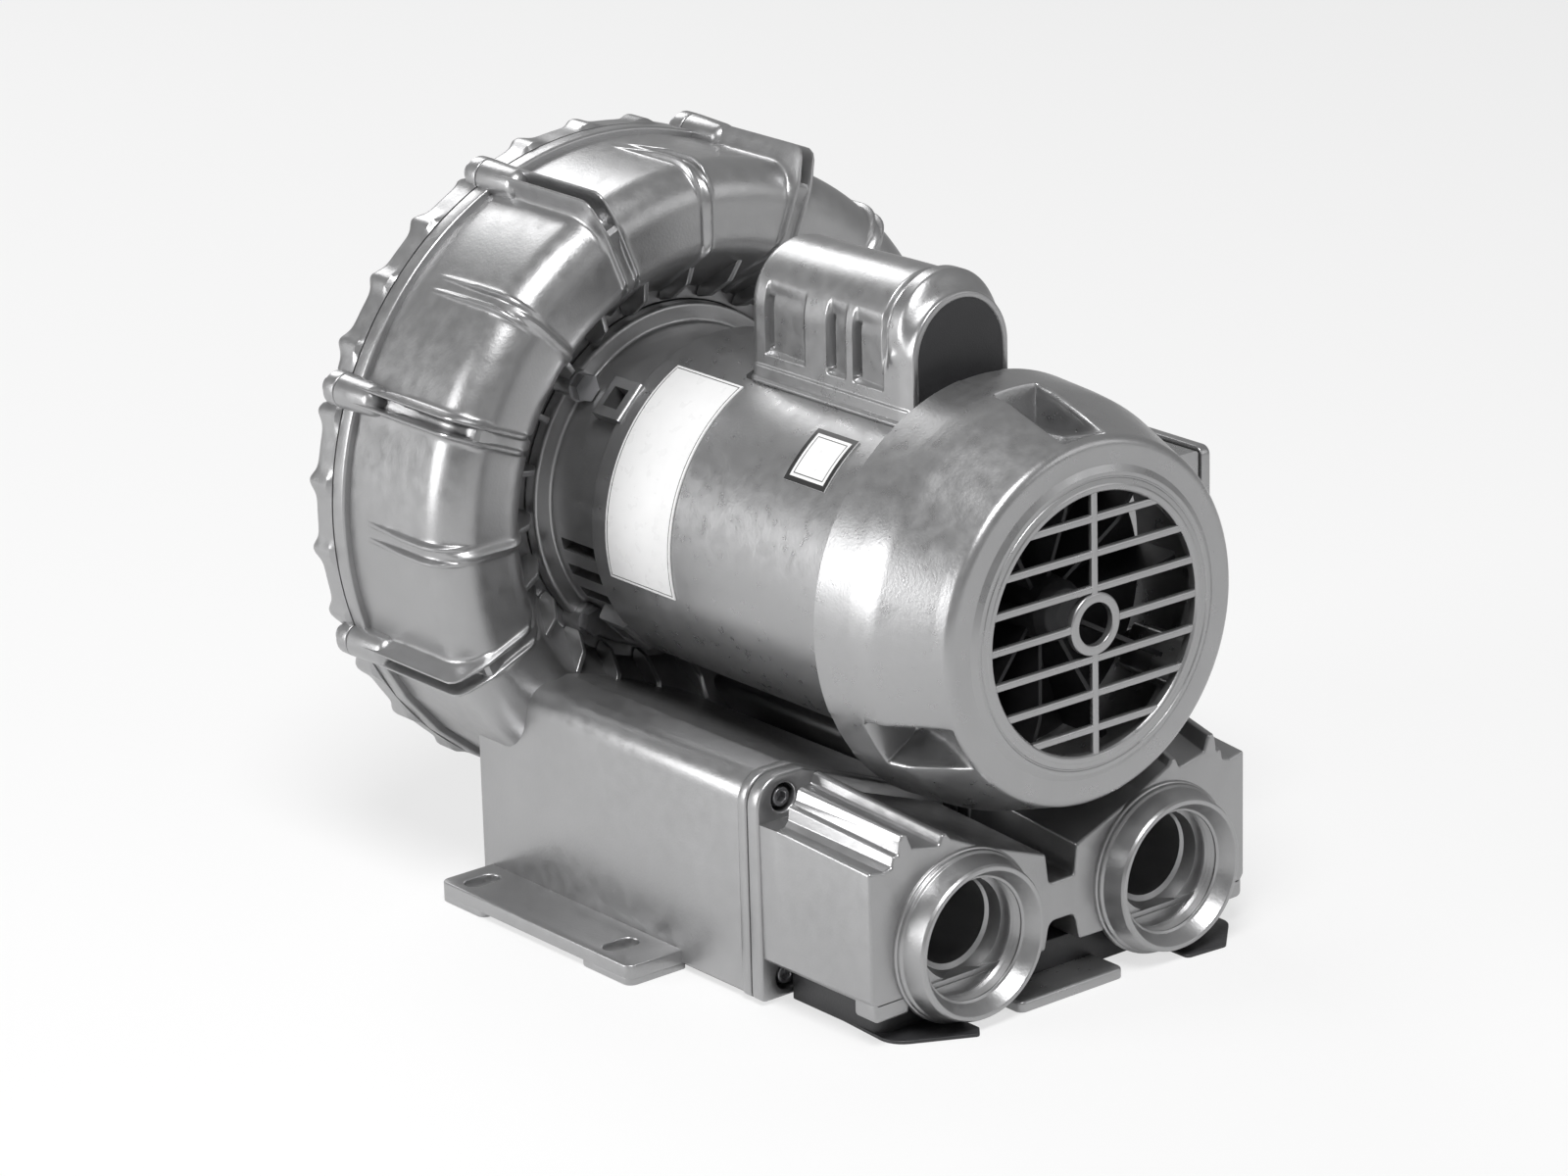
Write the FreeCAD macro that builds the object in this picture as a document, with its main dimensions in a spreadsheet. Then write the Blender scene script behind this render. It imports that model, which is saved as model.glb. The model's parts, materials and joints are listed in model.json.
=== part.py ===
import FreeCAD, Part
import math
import os
import Sketcher

from FreeCAD import Placement, Rotation, Vector

# Side channel blower with its own single-phase motor and a silencer base.
# The motor axis runs along Y: the cooling fan is at -Y and the blower casing at +Y.
# The origin is the centre of the four foot slots, on the base plane.
# "turn" is an angle about the motor axis, from straight up towards +X.

# Driving dimensions, in millimetres and degrees
sizes = {
    "axis_height": 190.5,
    "fastener_gap": 0.1,
    "running_gap": 0.03,
    "rotor_gap": 0.5,
    # feet
    "foot_span_x": 281.0,
    "foot_span_y": 114.0,
    "foot_edge": 15.5,
    "foot_front": 83.0,
    "foot_rear": 72.0,
    "foot_thick": 10.6,
    "foot_slot_wide": 11.0,
    "foot_slot_long": 20.0,
    "foot_relief": 3.3,
    "foot_pad_front": 40.0,
    "foot_pad_rear": 36.0,
    # silencer tunnels under the motor
    "tunnel_half": 123.3,
    "tunnel_inner": 9.0,
    "tunnel_top": 114.5,
    "tunnel_floor": 3.0,
    "tunnel_front": 137.0,
    "tunnel_rear": 79.0,
    "tunnel_wall": 5.5,
    "tunnel_round": 22.0,
    "tunnel_web_low": 28.0,
    "tunnel_web_high": 52.0,
    "tunnel_screw": 3.0,
    "tunnel_screw_x": 108.0,
    "tunnel_screw_high": 103.5,
    "tunnel_screw_low": 12.5,
    "tube_x": 63.5,
    "tube_z": 64.0,
    "tube_radius": 19.0,
    "tube_wall": 1.5,
    "foam_radius": 28.5,
    "foam_front": 128.0,
    "foam_rear": 28.0,
    # port manifold
    "gasket_thick": 1.5,
    "manifold_front": 223.0,
    "manifold_half": 120.3,
    "manifold_floor": 20.6,
    "manifold_side": 90.2,
    "manifold_wall": 5.0,
    "manifold_flange": 8.0,
    "port_x": 63.5,
    "port_z": 44.0,
    "port_bore": 30.0,
    "port_rim": 37.8,
    "port_collar": 42.2,
    "port_length": 16.0,
    "port_thread_depth": 24.0,
    # base covers
    "cover_plate_thick": 2.0,
    "plate_screw": 2.0,
    "tray_screw": 2.5,
    "tray_half": 108.0,
    "tray_front": 243.0,
    "tray_wall": 2.5,
    "tray_skid": 1.8,
    "front_foot_half": 40.0,
    "front_foot_front": 236.0,
    # blower casing
    "casing_front": 36.0,
    "casing_radius": 167.0,
    "casing_wall": 6.0,
    "shoulder_round": 20.0,
    "joint_plane": 128.0,
    "flange_radius": 171.0,
    "flange_thick": 9.0,
    "casing_bolt_circle": 171.0,
    "casing_boss": 9.2,
    "casing_screw": 3.0,
    "casing_screw_length": 30.0,
    "hub_face": 76.0,
    "hub_radius": 97.0,
    "pilot_radius": 46.0,
    "pilot_depth": 6.0,
    "channel_inner": 114.0,
    "channel_bottom": 43.0,
    "channel_round": 22.0,
    "chamber_front": 89.0,
    "stripper_angle": 26.0,
    "rib_thick": 3.0,
    "rib_pair": 9.0,
    "boss_rib_radius": 178.5,
    "low_rib_height": 3.2,
    "cover_thick": 9.0,
    "fin_height": 15.0,
    "fin_count": 30,
    "fin_thick": 3.0,
    "cover_hub": 40.0,
    "cap_recess": 27.0,
    "seal_inset": 1.5,
    "seal_width": 3.0,
    "seal_depth": 2.0,
    # impeller
    "mouth_plane": 92.5,
    "bowl_depth": 27.0,
    "bowl_wall": 3.0,
    "bowl_round": 15.0,
    "impeller_back": 4.0,
    "vane_count": 36,
    "vane_thick": 2.4,
    "impeller_hub": 24.0,
    "impeller_hub_length": 30.0,
    "web_thick": 7.0,
    # shaft
    "shaft_impeller": 10.0,
    "shaft_seal": 12.0,
    "shaft_drive": 12.5,
    "shaft_core": 15.0,
    "shaft_tail": 8.5,
    "shaft_fan": 8.0,
    "key_width": 6.0,
    "key_length": 20.0,
    # bearings
    "drive_bearing_radius": 26.0,
    "drive_bearing_width": 15.0,
    "drive_bearing_front": 44.0,
    "tail_bearing_radius": 20.0,
    "tail_bearing_width": 12.0,
    "tail_bearing_front": 174.5,
    "spring_thick": 1.2,
    # motor
    "frame_radius": 86.0,
    "frame_wall": 4.0,
    "frame_front": 156.0,
    "frame_rear": 21.5,
    "core_front": 100.0,
    "core_rear": 15.0,
    "rotor_radius": 45.0,
    "winding_reach": 28.0,
    "bolt_circle": 73.5,
    "through_bolt": 2.5,
    "bell_radius": 80.0,
    "bell_wall": 8.0,
    "bell_flange": 90.0,
    "bell_flange_thick": 8.0,
    "flange_bolt_circle": 87.2,
    "flange_screw": 4.0,
    "tail_bell_depth": 12.0,
    # cooling fan and its cover
    "cover_face": 249.0,
    "cover_rear": 168.0,
    "cover_bend": 205.0,
    "cover_radius": 105.5,
    "cover_bend_radius": 102.5,
    "cover_face_radius": 89.5,
    "cover_wall": 2.2,
    "grille_radius": 64.1,
    "bar_pitch": 17.3,
    "bar_thick": 3.9,
    "grille_ring": 15.5,
    "grille_ring_bore": 10.5,
    "fan_front": 232.0,
    "fan_disc": 198.0,
    "fan_radius": 73.0,
    "fan_hub": 15.0,
    "fan_blades": 9,
    "pocket_floor": 80.0,
    "pocket_half": 13.0,
    "pocket_run": 22.0,
    "pocket_reach": 63.0,
    "pocket_rise": 15.3,
    "pocket_rear": 193.0,
    "cover_screw_circle": 86.0,
    "cover_screw": 2.5,
    # capacitor
    "dome_half": 30.5,
    "dome_top": 149.5,
    "dome_front": 134.0,
    "dome_rear": 33.0,
    "dome_wall": 2.5,
    "nose_front": 155.0,
    "nose_half": 30.0,
    "nose_top": 142.5,
    "capacitor_radius": 20.0,
    "capacitor_length": 84.0,
    # terminal box
    "box_front": 146.0,
    "box_rear": 54.0,
    "box_low": 30.5,
    "box_high": 26.5,
    "box_side": 162.3,
    "box_wall": 3.0,
    "lid_thick": 8.0,
    "lid_screw": 2.0,
    "lead_hole": 11.0,
    "entry_radius": 11.0,
    "entry_inset": 26.0,
    # plates
    "plate_thick": 0.8,
    "plate_glue": 0.15,
    "nameplate_front": 36.5,
    "nameplate_rear": 14.5,
    "nameplate_turn": -65.0,
    "nameplate_arc": 78.0,
    "badge_front": 133.5,
    "badge_rear": 103.5,
    "badge_turn": -42.0,
    "badge_arc": 20.0,
}

doc = FreeCAD.newDocument("side_channel_blower")
sheet = doc.addObject("Spreadsheet::Sheet", "Sizes")
for row, (name, value) in enumerate(sizes.items(), start=1):
    sheet.set(f"A{row}", name)
    sheet.set(f"B{row}", str(value))
    sheet.setAlias(f"B{row}", name)


class Size:
    # A value together with the sheet expression that it comes from

    def __init__(self, value, text):
        self.value = float(value)
        self.text = text

    def __add__(self, other):
        other = as_size(other)
        return Size(self.value + other.value, f"({self.text} + {other.text})")

    def __sub__(self, other):
        other = as_size(other)
        return Size(self.value - other.value, f"({self.text} - {other.text})")

    def __mul__(self, other):
        other = as_size(other)
        return Size(self.value * other.value, f"({self.text} * {other.text})")

    def __truediv__(self, other):
        other = as_size(other)
        return Size(self.value / other.value, f"({self.text} / {other.text})")

    def __neg__(self):
        return Size(-self.value, f"(0 - {self.text})")

    def __radd__(self, other):
        return as_size(other) + self

    def __rsub__(self, other):
        return as_size(other) - self

    def root(self):
        return Size(math.sqrt(self.value), f"sqrt({self.text})")


class Sheet:
    # The driving dimensions by name, each as a Size

    def __init__(self, table):
        for word, number in table.items():
            setattr(self, word, Size(number, f"Sizes.{word}"))


def as_size(number):
    if isinstance(number, Size):
        return number
    return Size(number, f"{number:g}")


d = Sheet(sizes)


def bind(target, path, number):
    number = as_size(number)
    if "Sizes." in number.text:
        target.setExpression(path, number.text)


# Sketches


def sketch_on(body, role, offset=0, turn=0):
    # A sketch on one of the body's own planes, moved along its normal or turned about the motor axis
    number = sum(1 for part in body.Group if part.TypeId == "Sketcher::SketchObject")
    sk = body.newObject("Sketcher::SketchObject", f"{body.Name}_sketch_{number}")
    plane = next(feature for feature in body.Origin.OriginFeatures if feature.Role == role)
    sk.AttachmentSupport = [(plane, "")]
    sk.MapMode = "FlatFace"
    offset = as_size(offset)
    spin_axis = Vector(1, 0, 0) if role == "YZ_Plane" else Vector(0, 0, -1)
    base = Vector(0, 0, offset.value)
    if role == "YZ_Plane":
        base = Rotation(spin_axis, turn).multVec(base)
    sk.AttachmentOffset = Placement(base, Rotation(spin_axis, turn))
    if turn == 0:
        bind(sk, "AttachmentOffset.Base.z", offset)
    return sk


def drive(sk, rules):
    # Adds the rules in one go and ties each dimension to its expression
    first = sk.ConstraintCount
    sk.addConstraint([rule for rule, number in rules])
    for place, (rule, number) in enumerate(rules):
        if number is not None:
            bind(sk, f"Constraints[{first + place}]", number)


def fixed_point(geometry, end, u, v):
    rules = []
    for kind, axis, number in (("DistanceX", -2, as_size(u)), ("DistanceY", -1, as_size(v))):
        if number.text == "0":
            rules.append((Sketcher.Constraint("PointOnObject", geometry, end, axis), None))
        else:
            rules.append((Sketcher.Constraint(kind, geometry, end, number.value), number))
    return rules


def outline(sk, corners):
    # A closed outline of straight sides; a corner's third value is the radius of its round
    count = len(corners)
    points = [Vector(as_size(corner[0]).value, as_size(corner[1]).value, 0) for corner in corners]
    rounds = [as_size(corner[2]) if len(corner) > 2 else None for corner in corners]
    tangents = []
    for place, point in enumerate(points):
        back = (points[place - 1] - point).normalize()
        ahead = (points[(place + 1) % count] - point).normalize()
        if rounds[place] is None:
            tangents.append((point, point))
        else:
            reach = rounds[place].value / math.tan(back.getAngle(ahead) / 2)
            tangents.append((point + back * reach, point + ahead * reach))
    sides = []
    for place in range(count):
        start = tangents[place][1]
        end = tangents[(place + 1) % count][0]
        sides.append(sk.addGeometry(Part.LineSegment(start, end)))
    rules = []
    for place, point in enumerate(points):
        before = sides[place - 1]
        after = sides[place]
        u, v = corners[place][0], corners[place][1]
        if rounds[place] is None:
            rules.append((Sketcher.Constraint("Coincident", before, 2, after, 1), None))
            rules += fixed_point(after, 1, u, v)
            continue
        start, end = tangents[place]
        radius = rounds[place].value
        middle_way = ((start - point).normalize() + (end - point).normalize()).normalize()
        centre = point + middle_way * math.hypot(radius, (start - point).Length)
        middle = centre - middle_way * radius
        arc = sk.addGeometry(Part.Arc(start, middle, end))
        left_turn = (point - points[place - 1]).cross(points[(place + 1) % count] - point).z > 0
        near, far = (1, 2) if left_turn else (2, 1)
        rules.append((Sketcher.Constraint("Tangent", before, 2, arc, near), None))
        rules.append((Sketcher.Constraint("Tangent", arc, far, after, 1), None))
        rules.append((Sketcher.Constraint("Radius", arc, radius), rounds[place]))
        tip = sk.addGeometry(Part.Point(point), True)
        rules.append((Sketcher.Constraint("PointOnObject", tip, 1, before), None))
        rules.append((Sketcher.Constraint("PointOnObject", tip, 1, after), None))
        rules += fixed_point(tip, 1, u, v)
    drive(sk, rules)
    return sk


def rectangle(sk, low_u, low_v, high_u, high_v, round_by=None):
    corners = [(low_u, low_v), (high_u, low_v), (high_u, high_v), (low_u, high_v)]
    if round_by is not None:
        corners = [corner + (round_by,) for corner in corners]
    return outline(sk, corners)


def circles(sk, centres, radius):
    radius = as_size(radius)
    rules = []
    for u, v in centres:
        centre = Vector(as_size(u).value, as_size(v).value, 0)
        geometry = sk.addGeometry(Part.Circle(centre, Vector(0, 0, 1), radius.value))
        rules += fixed_point(geometry, 3, u, v)
        rules.append((Sketcher.Constraint("Radius", geometry, radius.value), radius))
    drive(sk, rules)
    return sk


def hexagons(sk, centres, radius):
    # Hexagons by their corner radius, flat side down
    for u, v in centres:
        half = radius / 2
        rise = radius * 0.8660254
        outline(sk, [
            (u - radius, v), (u - half, v - rise), (u + half, v - rise),
            (u + radius, v), (u + half, v + rise), (u - half, v + rise),
        ])
    return sk


# Features


def extrude(body, kind, sk, length, back=False, centred=False):
    feature = body.newObject(kind, f"{sk.Name}_{kind.split('::')[1].lower()}")
    feature.Profile = sk
    feature.Length = as_size(length).value
    bind(feature, "Length", length)
    if centred:
        feature.SideType = "Symmetric"
    feature.Reversed = back
    return feature


def pad(body, sk, length, back=False, centred=False):
    return extrude(body, "PartDesign::Pad", sk, length, back, centred)


def cut(body, sk, length, back=False, centred=False):
    return extrude(body, "PartDesign::Pocket", sk, length, back, centred)


def spin(body, kind, sk, angle=360):
    feature = body.newObject(kind, f"{sk.Name}_{kind.split('::')[1].lower()}")
    feature.Profile = sk
    feature.ReferenceAxis = (sk, ["H_Axis"])
    feature.Angle = as_size(angle).value
    bind(feature, "Angle", angle)
    if as_size(angle).value < 360:
        feature.Midplane = True
    return feature


def turned(body, sk, angle=360):
    return spin(body, "PartDesign::Revolution", sk, angle)


def grooved(body, sk, angle=360):
    return spin(body, "PartDesign::Groove", sk, angle)


def around(body, features, count, angle=360):
    # Repeats features about the motor axis, which is the body's own Y axis
    pattern = body.newObject("PartDesign::PolarPattern", f"{features[0].Name}_ring")
    pattern.Originals = features
    axis = next(feature for feature in body.Origin.OriginFeatures if feature.Role == "Y_Axis")
    pattern.Axis = (axis, [""])
    pattern.Angle = angle
    pattern.Occurrences = int(as_size(count).value)
    bind(pattern, "Occurrences", count)
    body.Tip = pattern
    return pattern


def mirrored(body, features):
    # Mirrors features from one side of the blower to the other
    pattern = body.newObject("PartDesign::Mirrored", f"{features[0].Name}_mirror")
    pattern.Originals = features
    plane = next(feature for feature in body.Origin.OriginFeatures if feature.Role == "YZ_Plane")
    pattern.MirrorPlane = (plane, [""])
    body.Tip = pattern
    return pattern


nodes = []


def new_body(name, on_axis=True):
    # A piece whose own origin is on the motor axis, or on the base plane
    body = doc.addObject("PartDesign::Body", name)
    body.Label = name
    height = d.axis_height.value if on_axis else 0
    body.Placement = Placement(Vector(0, 0, height), Rotation())
    nodes.append(body)
    return body


def up(height):
    # A height above the base plane, measured from the motor axis
    return as_size(height) - d.axis_height


def ring_piece(name, corners):
    # A piece turned about the motor axis from an outline of (y, radius) corners
    body = new_body(name)
    turned(body, outline(sketch_on(body, "YZ_Plane"), corners))
    return body


# Blower casing

channel_outer = d.casing_radius - d.casing_wall
impeller_radius = channel_outer - d.rotor_gap * 2
tunnel_corner = d.tunnel_half - d.tunnel_wall
pilot_floor = d.hub_face + d.pilot_depth
seal_inner = channel_outer + d.seal_inset
seal_bore = d.shaft_seal + 9
casing_turns = 22.5
tunnel_section = [
    (d.tunnel_inner, up(d.tunnel_floor)),
    (d.tunnel_half, up(d.tunnel_floor)),
    (d.tunnel_half, up(d.tunnel_top), d.tunnel_round),
    (d.tunnel_half - 28, up(d.tunnel_top), 10),
    (d.tunnel_inner + 22, up(d.tunnel_top - 26), 6),
    (d.tunnel_inner, up(d.tunnel_top - 34), 6),
]
tunnel_hollow = [
    (d.tunnel_inner + d.tunnel_wall, up(d.tunnel_floor + d.tunnel_wall)),
    (tunnel_corner, up(d.tunnel_floor + d.tunnel_wall)),
    (tunnel_corner, up(d.tunnel_top - d.tunnel_wall), d.tunnel_round - d.tunnel_wall),
    (d.tunnel_half - 30, up(d.tunnel_top - d.tunnel_wall), 6),
    (d.tunnel_inner + 22, up(d.tunnel_top - 26 - d.tunnel_wall - 1)),
    (d.tunnel_inner + d.tunnel_wall, up(d.tunnel_top - 41)),
]
tunnel_screws = [
    (d.tunnel_screw_x, up(d.tunnel_screw_high)),
    (d.tunnel_screw_x, up(d.tunnel_screw_low)),
]


def mirrored_places(places):
    return places + [(-as_size(u), v) for u, v in places]


def front_housing():
    body = new_body("front_housing")
    shell = pad(body, outline(sketch_on(body, "XZ_Plane", d.tunnel_front), tunnel_section),
                d.tunnel_front + d.tunnel_rear, back=True)
    hollow = cut(body, outline(sketch_on(body, "XZ_Plane", d.tunnel_front), tunnel_hollow),
                 d.tunnel_front + d.casing_front + 34)
    boss_sketch = circles(sketch_on(body, "XZ_Plane", d.tunnel_front), tunnel_screws, 8)
    bosses = pad(body, boss_sketch, 26, back=True)
    mirrored(body, [shell, hollow, bosses])
    # the web that joins both tunnels
    web = rectangle(sketch_on(body, "XZ_Plane", d.tunnel_front),
                    -d.tunnel_inner - 2, up(d.tunnel_web_low), d.tunnel_inner + 2, up(d.tunnel_web_high))
    pad(body, web, d.tunnel_front + d.tunnel_rear, back=True)
    # the casing ring, solid for now
    turned(body, outline(sketch_on(body, "YZ_Plane"), [
        (d.joint_plane, d.flange_radius),
        (d.joint_plane - d.flange_thick, d.flange_radius),
        (d.joint_plane - d.flange_thick, d.casing_radius),
        (d.casing_front, d.casing_radius, d.shoulder_round),
        (d.casing_front, d.channel_inner + 10, 14),
        (d.hub_face, d.hub_radius, 4),
        (d.hub_face, d.pilot_radius),
        (pilot_floor, d.pilot_radius),
        (pilot_floor, seal_bore),
        (d.joint_plane, seal_bore),
    ]))
    casing_ribs(body)
    # screw bosses on the joint flange
    bosses = circles(sketch_on(body, "XZ_Plane", -d.joint_plane, casing_turns),
                     [(0, d.casing_bolt_circle)], d.casing_boss)
    around(body, [pad(body, bosses, d.flange_thick + 24)], 8)
    # flow channel and impeller chamber
    grooved(body, outline(sketch_on(body, "YZ_Plane"), [
        (d.joint_plane + 1, channel_outer),
        (d.channel_bottom, channel_outer, d.channel_round),
        (d.channel_bottom, d.channel_inner, d.channel_round),
        (d.chamber_front, d.channel_inner),
        (d.chamber_front, seal_bore - 1),
        (d.joint_plane + 1, seal_bore - 1),
    ]))
    # stripper between the inlet and the outlet
    stripper = outline(sketch_on(body, "YZ_Plane", 0, 180), [
        (d.channel_bottom - 3, d.channel_inner - 3),
        (d.mouth_plane - d.rotor_gap, d.channel_inner - 3),
        (d.mouth_plane - d.rotor_gap, channel_outer + 3),
        (d.channel_bottom - 3, channel_outer + 3),
    ])
    turned(body, stripper, d.stripper_angle)
    # tubes from the tunnels open into the channel on both sides of the stripper
    ports = circles(sketch_on(body, "XZ_Plane", -d.casing_front + 8),
                    mirrored_places([(d.tube_x, up(d.tube_z))]), d.tube_radius + d.fastener_gap)
    cut(body, ports, d.channel_bottom - d.casing_front + 30)
    # screw holes
    holes = circles(sketch_on(body, "XZ_Plane", -d.joint_plane, casing_turns),
                    [(0, d.casing_bolt_circle)], d.casing_screw + d.fastener_gap)
    around(body, [cut(body, holes, d.casing_screw_length - d.cover_thick + 2, back=True)], 8)
    holes = circles(sketch_on(body, "XZ_Plane", -d.hub_face, 45),
                    [(0, d.flange_bolt_circle)], d.flange_screw + d.fastener_gap)
    around(body, [cut(body, holes, 11)], 4)
    holes = circles(sketch_on(body, "XZ_Plane", d.tunnel_front),
                    mirrored_places(tunnel_screws), d.tunnel_screw + d.fastener_gap)
    cut(body, holes, 22)
    holes = circles(sketch_on(body, "XY_Plane", up(d.tunnel_floor)), cover_screw_places,
                    d.plate_screw + d.fastener_gap)
    cut(body, holes, 5.6, back=True)
    feet(body)


def casing_ribs(body):
    # ribs in pairs: tall ones that run on from the screw bosses, low ones half way between
    half_pair = d.rib_pair / 2
    tall = [
        (d.joint_plane - 2, d.casing_radius - 10),
        (d.joint_plane - 2, d.boss_rib_radius),
        (d.casing_front + 2, d.boss_rib_radius, 8),
        (d.casing_front - 3, d.casing_radius - 10, 4),
        (d.casing_front - 3, d.channel_inner + 18, 10),
        (d.hub_face - 4, d.hub_radius - 1),
        (d.hub_face + 2, d.hub_radius - 1),
        (d.hub_face + 2, d.casing_radius - 10),
    ]
    low = [
        (d.joint_plane - d.flange_thick - 12, d.casing_radius - 10),
        (d.joint_plane - d.flange_thick - 12, d.casing_radius),
        (d.casing_front + 26, d.casing_radius + d.low_rib_height, 30),
        (d.casing_front - d.low_rib_height, d.casing_radius + d.low_rib_height,
         d.shoulder_round + d.low_rib_height - 2),
        (d.casing_front - d.low_rib_height, d.channel_inner + 10, 12),
        (d.hub_face - 3, d.hub_radius - 1),
        (d.hub_face + 2, d.hub_radius - 1),
        (d.hub_face + 2, d.casing_radius - 10),
    ]
    for corners, start, span, count in ((tall, 112.5, 225, 6), (low, 90, 180, 5)):
        pair = []
        for side in (-1, 1):
            sk = sketch_on(body, "YZ_Plane", half_pair * side, -start)
            pair.append(pad(body, outline(sk, corners), d.rib_thick, centred=True))
        around(body, pair, count, span)


def feet(body):
    foot_outer = d.foot_span_x / 2 + d.foot_edge
    plate = rectangle(sketch_on(body, "XY_Plane", up(0)),
                      d.tunnel_half - 3, -d.foot_front, foot_outer, d.foot_rear)
    solid = pad(body, plate, d.foot_thick)
    relief = rectangle(sketch_on(body, "XY_Plane", up(0)),
                       d.tunnel_half, -d.foot_front + d.foot_pad_front,
                       foot_outer + 1, d.foot_rear - d.foot_pad_rear)
    arch = cut(body, relief, d.foot_relief, back=True)
    mirrored(body, [solid, arch])
    reach = (d.foot_slot_long - d.foot_slot_wide) / 2
    half = d.foot_slot_wide / 2
    for side_x in (-1, 1):
        for side_y in (-1, 1):
            centre = (d.foot_span_x / 2 * side_x, d.foot_span_y / 2 * side_y)
            sk = sketch_on(body, "XY_Plane", up(0))
            rounded = half - 0.01
            outline(sk, [
                (centre[0] - reach - half, centre[1] - half, rounded),
                (centre[0] + reach + half, centre[1] - half, rounded),
                (centre[0] + reach + half, centre[1] + half, rounded),
                (centre[0] - reach - half, centre[1] + half, rounded),
            ])
            cut(body, sk, d.foot_thick + 1, back=True)


def rear_cover():
    back = d.joint_plane + d.cover_thick
    boss_back = back + d.fin_height
    body = ring_piece("rear_cover", [
        (d.joint_plane, 0),
        (d.joint_plane, d.flange_radius),
        (back, d.flange_radius, 2),
        (back, d.cover_hub),
        (boss_back, d.cover_hub - 3),
        (boss_back, 0),
    ])
    fin = outline(sketch_on(body, "YZ_Plane"), [
        (back - 1, d.cover_hub - 6),
        (back - 1, d.flange_radius - 1),
        (boss_back - 5, d.flange_radius - 1, 3),
        (boss_back, d.flange_radius - 14),
        (boss_back, d.cover_hub - 6),
    ])
    around(body, [pad(body, fin, d.fin_thick, centred=True)], d.fin_count)
    bosses = circles(sketch_on(body, "XZ_Plane", -d.joint_plane, casing_turns),
                     [(0, d.casing_bolt_circle)], d.casing_boss)
    around(body, [pad(body, bosses, d.cover_thick, back=True)], 8)
    # room for the impeller screw, the seal groove and the screws
    grooved(body, outline(sketch_on(body, "YZ_Plane"), [
        (d.joint_plane - 1, 0),
        (back + 3, 0),
        (back + 3, d.cap_recess),
        (d.joint_plane - 1, d.cap_recess),
    ]))
    grooved(body, outline(sketch_on(body, "YZ_Plane"), [
        (d.joint_plane - 1, seal_inner),
        (d.joint_plane + d.seal_depth, seal_inner),
        (d.joint_plane + d.seal_depth, seal_inner + d.seal_width),
        (d.joint_plane - 1, seal_inner + d.seal_width),
    ]))
    seats = circles(sketch_on(body, "XZ_Plane", -back, casing_turns),
                    [(0, d.casing_bolt_circle)], d.casing_screw * 2 + 0.5)
    around(body, [cut(body, seats, d.fin_height + 1, back=False)], 8)
    holes = circles(sketch_on(body, "XZ_Plane", -back, casing_turns),
                    [(0, d.casing_bolt_circle)], d.casing_screw + d.fastener_gap)
    around(body, [cut(body, holes, d.cover_thick + 1, back=True)], 8)


def casing_seal():
    ring_piece("casing_seal", [
        (d.joint_plane, seal_inner + d.fastener_gap),
        (d.joint_plane + d.seal_depth, seal_inner + d.fastener_gap),
        (d.joint_plane + d.seal_depth, seal_inner + d.seal_width - d.fastener_gap),
        (d.joint_plane, seal_inner + d.seal_width - d.fastener_gap),
    ])


def axial_screws(name, centres, seat, toward_rear, shank, length, turn=0, count=1):
    # Socket screws along the motor axis: the head sits on the seat plane, the shank goes the other way
    body = new_body(name)
    head = shank * 1.75
    at = -seat
    shanks = pad(body, circles(sketch_on(body, "XZ_Plane", at, turn), centres, shank), length,
                 back=not toward_rear)
    heads = pad(body, circles(sketch_on(body, "XZ_Plane", at, turn), centres, head), shank * 1.8,
                back=toward_rear)
    outer = at - shank * 1.8 if toward_rear else at + shank * 1.8
    sockets = cut(body, hexagons(sketch_on(body, "XZ_Plane", outer, turn), centres, shank * 0.95), shank,
                  back=not toward_rear)
    if count > 1:
        around(body, [shanks, heads, sockets], count)


# Silencer


def silencer(name, side):
    x = d.tube_x * side
    body = new_body(f"{name}_tube")
    skin = circles(sketch_on(body, "XZ_Plane", d.tunnel_front), [(x, up(d.tube_z))], d.tube_radius)
    pad(body, skin, d.tunnel_front + d.channel_bottom, back=True)
    bore = circles(sketch_on(body, "XZ_Plane", d.tunnel_front), [(x, up(d.tube_z))],
                   d.tube_radius - d.tube_wall)
    cut(body, bore, d.tunnel_front + d.channel_bottom)
    foam = new_body(f"{name}_foam")
    skin = circles(sketch_on(foam, "XZ_Plane", d.foam_front), [(x, up(d.tube_z))], d.foam_radius)
    pad(foam, skin, d.foam_front + d.foam_rear, back=True)
    hole = circles(sketch_on(foam, "XZ_Plane", d.foam_front), [(x, up(d.tube_z))], d.tube_radius)
    cut(foam, hole, d.foam_front + d.foam_rear)


# Port manifold

manifold_rear = d.tunnel_front + d.gasket_thick
flange_front = manifold_rear + d.manifold_flange
ridge_high = d.manifold_side + 12
half_section = [
    (d.manifold_half, up(d.manifold_floor + 4)),
    (d.manifold_half, up(d.manifold_side)),
    (d.manifold_half - 23, up(ridge_high)),
    (d.manifold_half - 45, up(ridge_high - 9)),
    (d.manifold_half - 47, up(ridge_high - 5)),
    (d.manifold_half - 64, up(ridge_high - 12)),
    (d.manifold_half - 68, up(ridge_high - 16)),
    (10, up(ridge_high - 32)),
    (8, up(55), 2),
]
low_section = [
    (8, up(d.manifold_floor + 14), 4),
    (11, up(d.manifold_floor)),
    (d.manifold_half - 5, up(d.manifold_floor)),
]


def other_side(corners):
    # The same corners mirrored to -X, in reverse order so that an outline runs on
    return [(-as_size(corner[0]), *corner[1:]) for corner in reversed(corners)]


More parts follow.
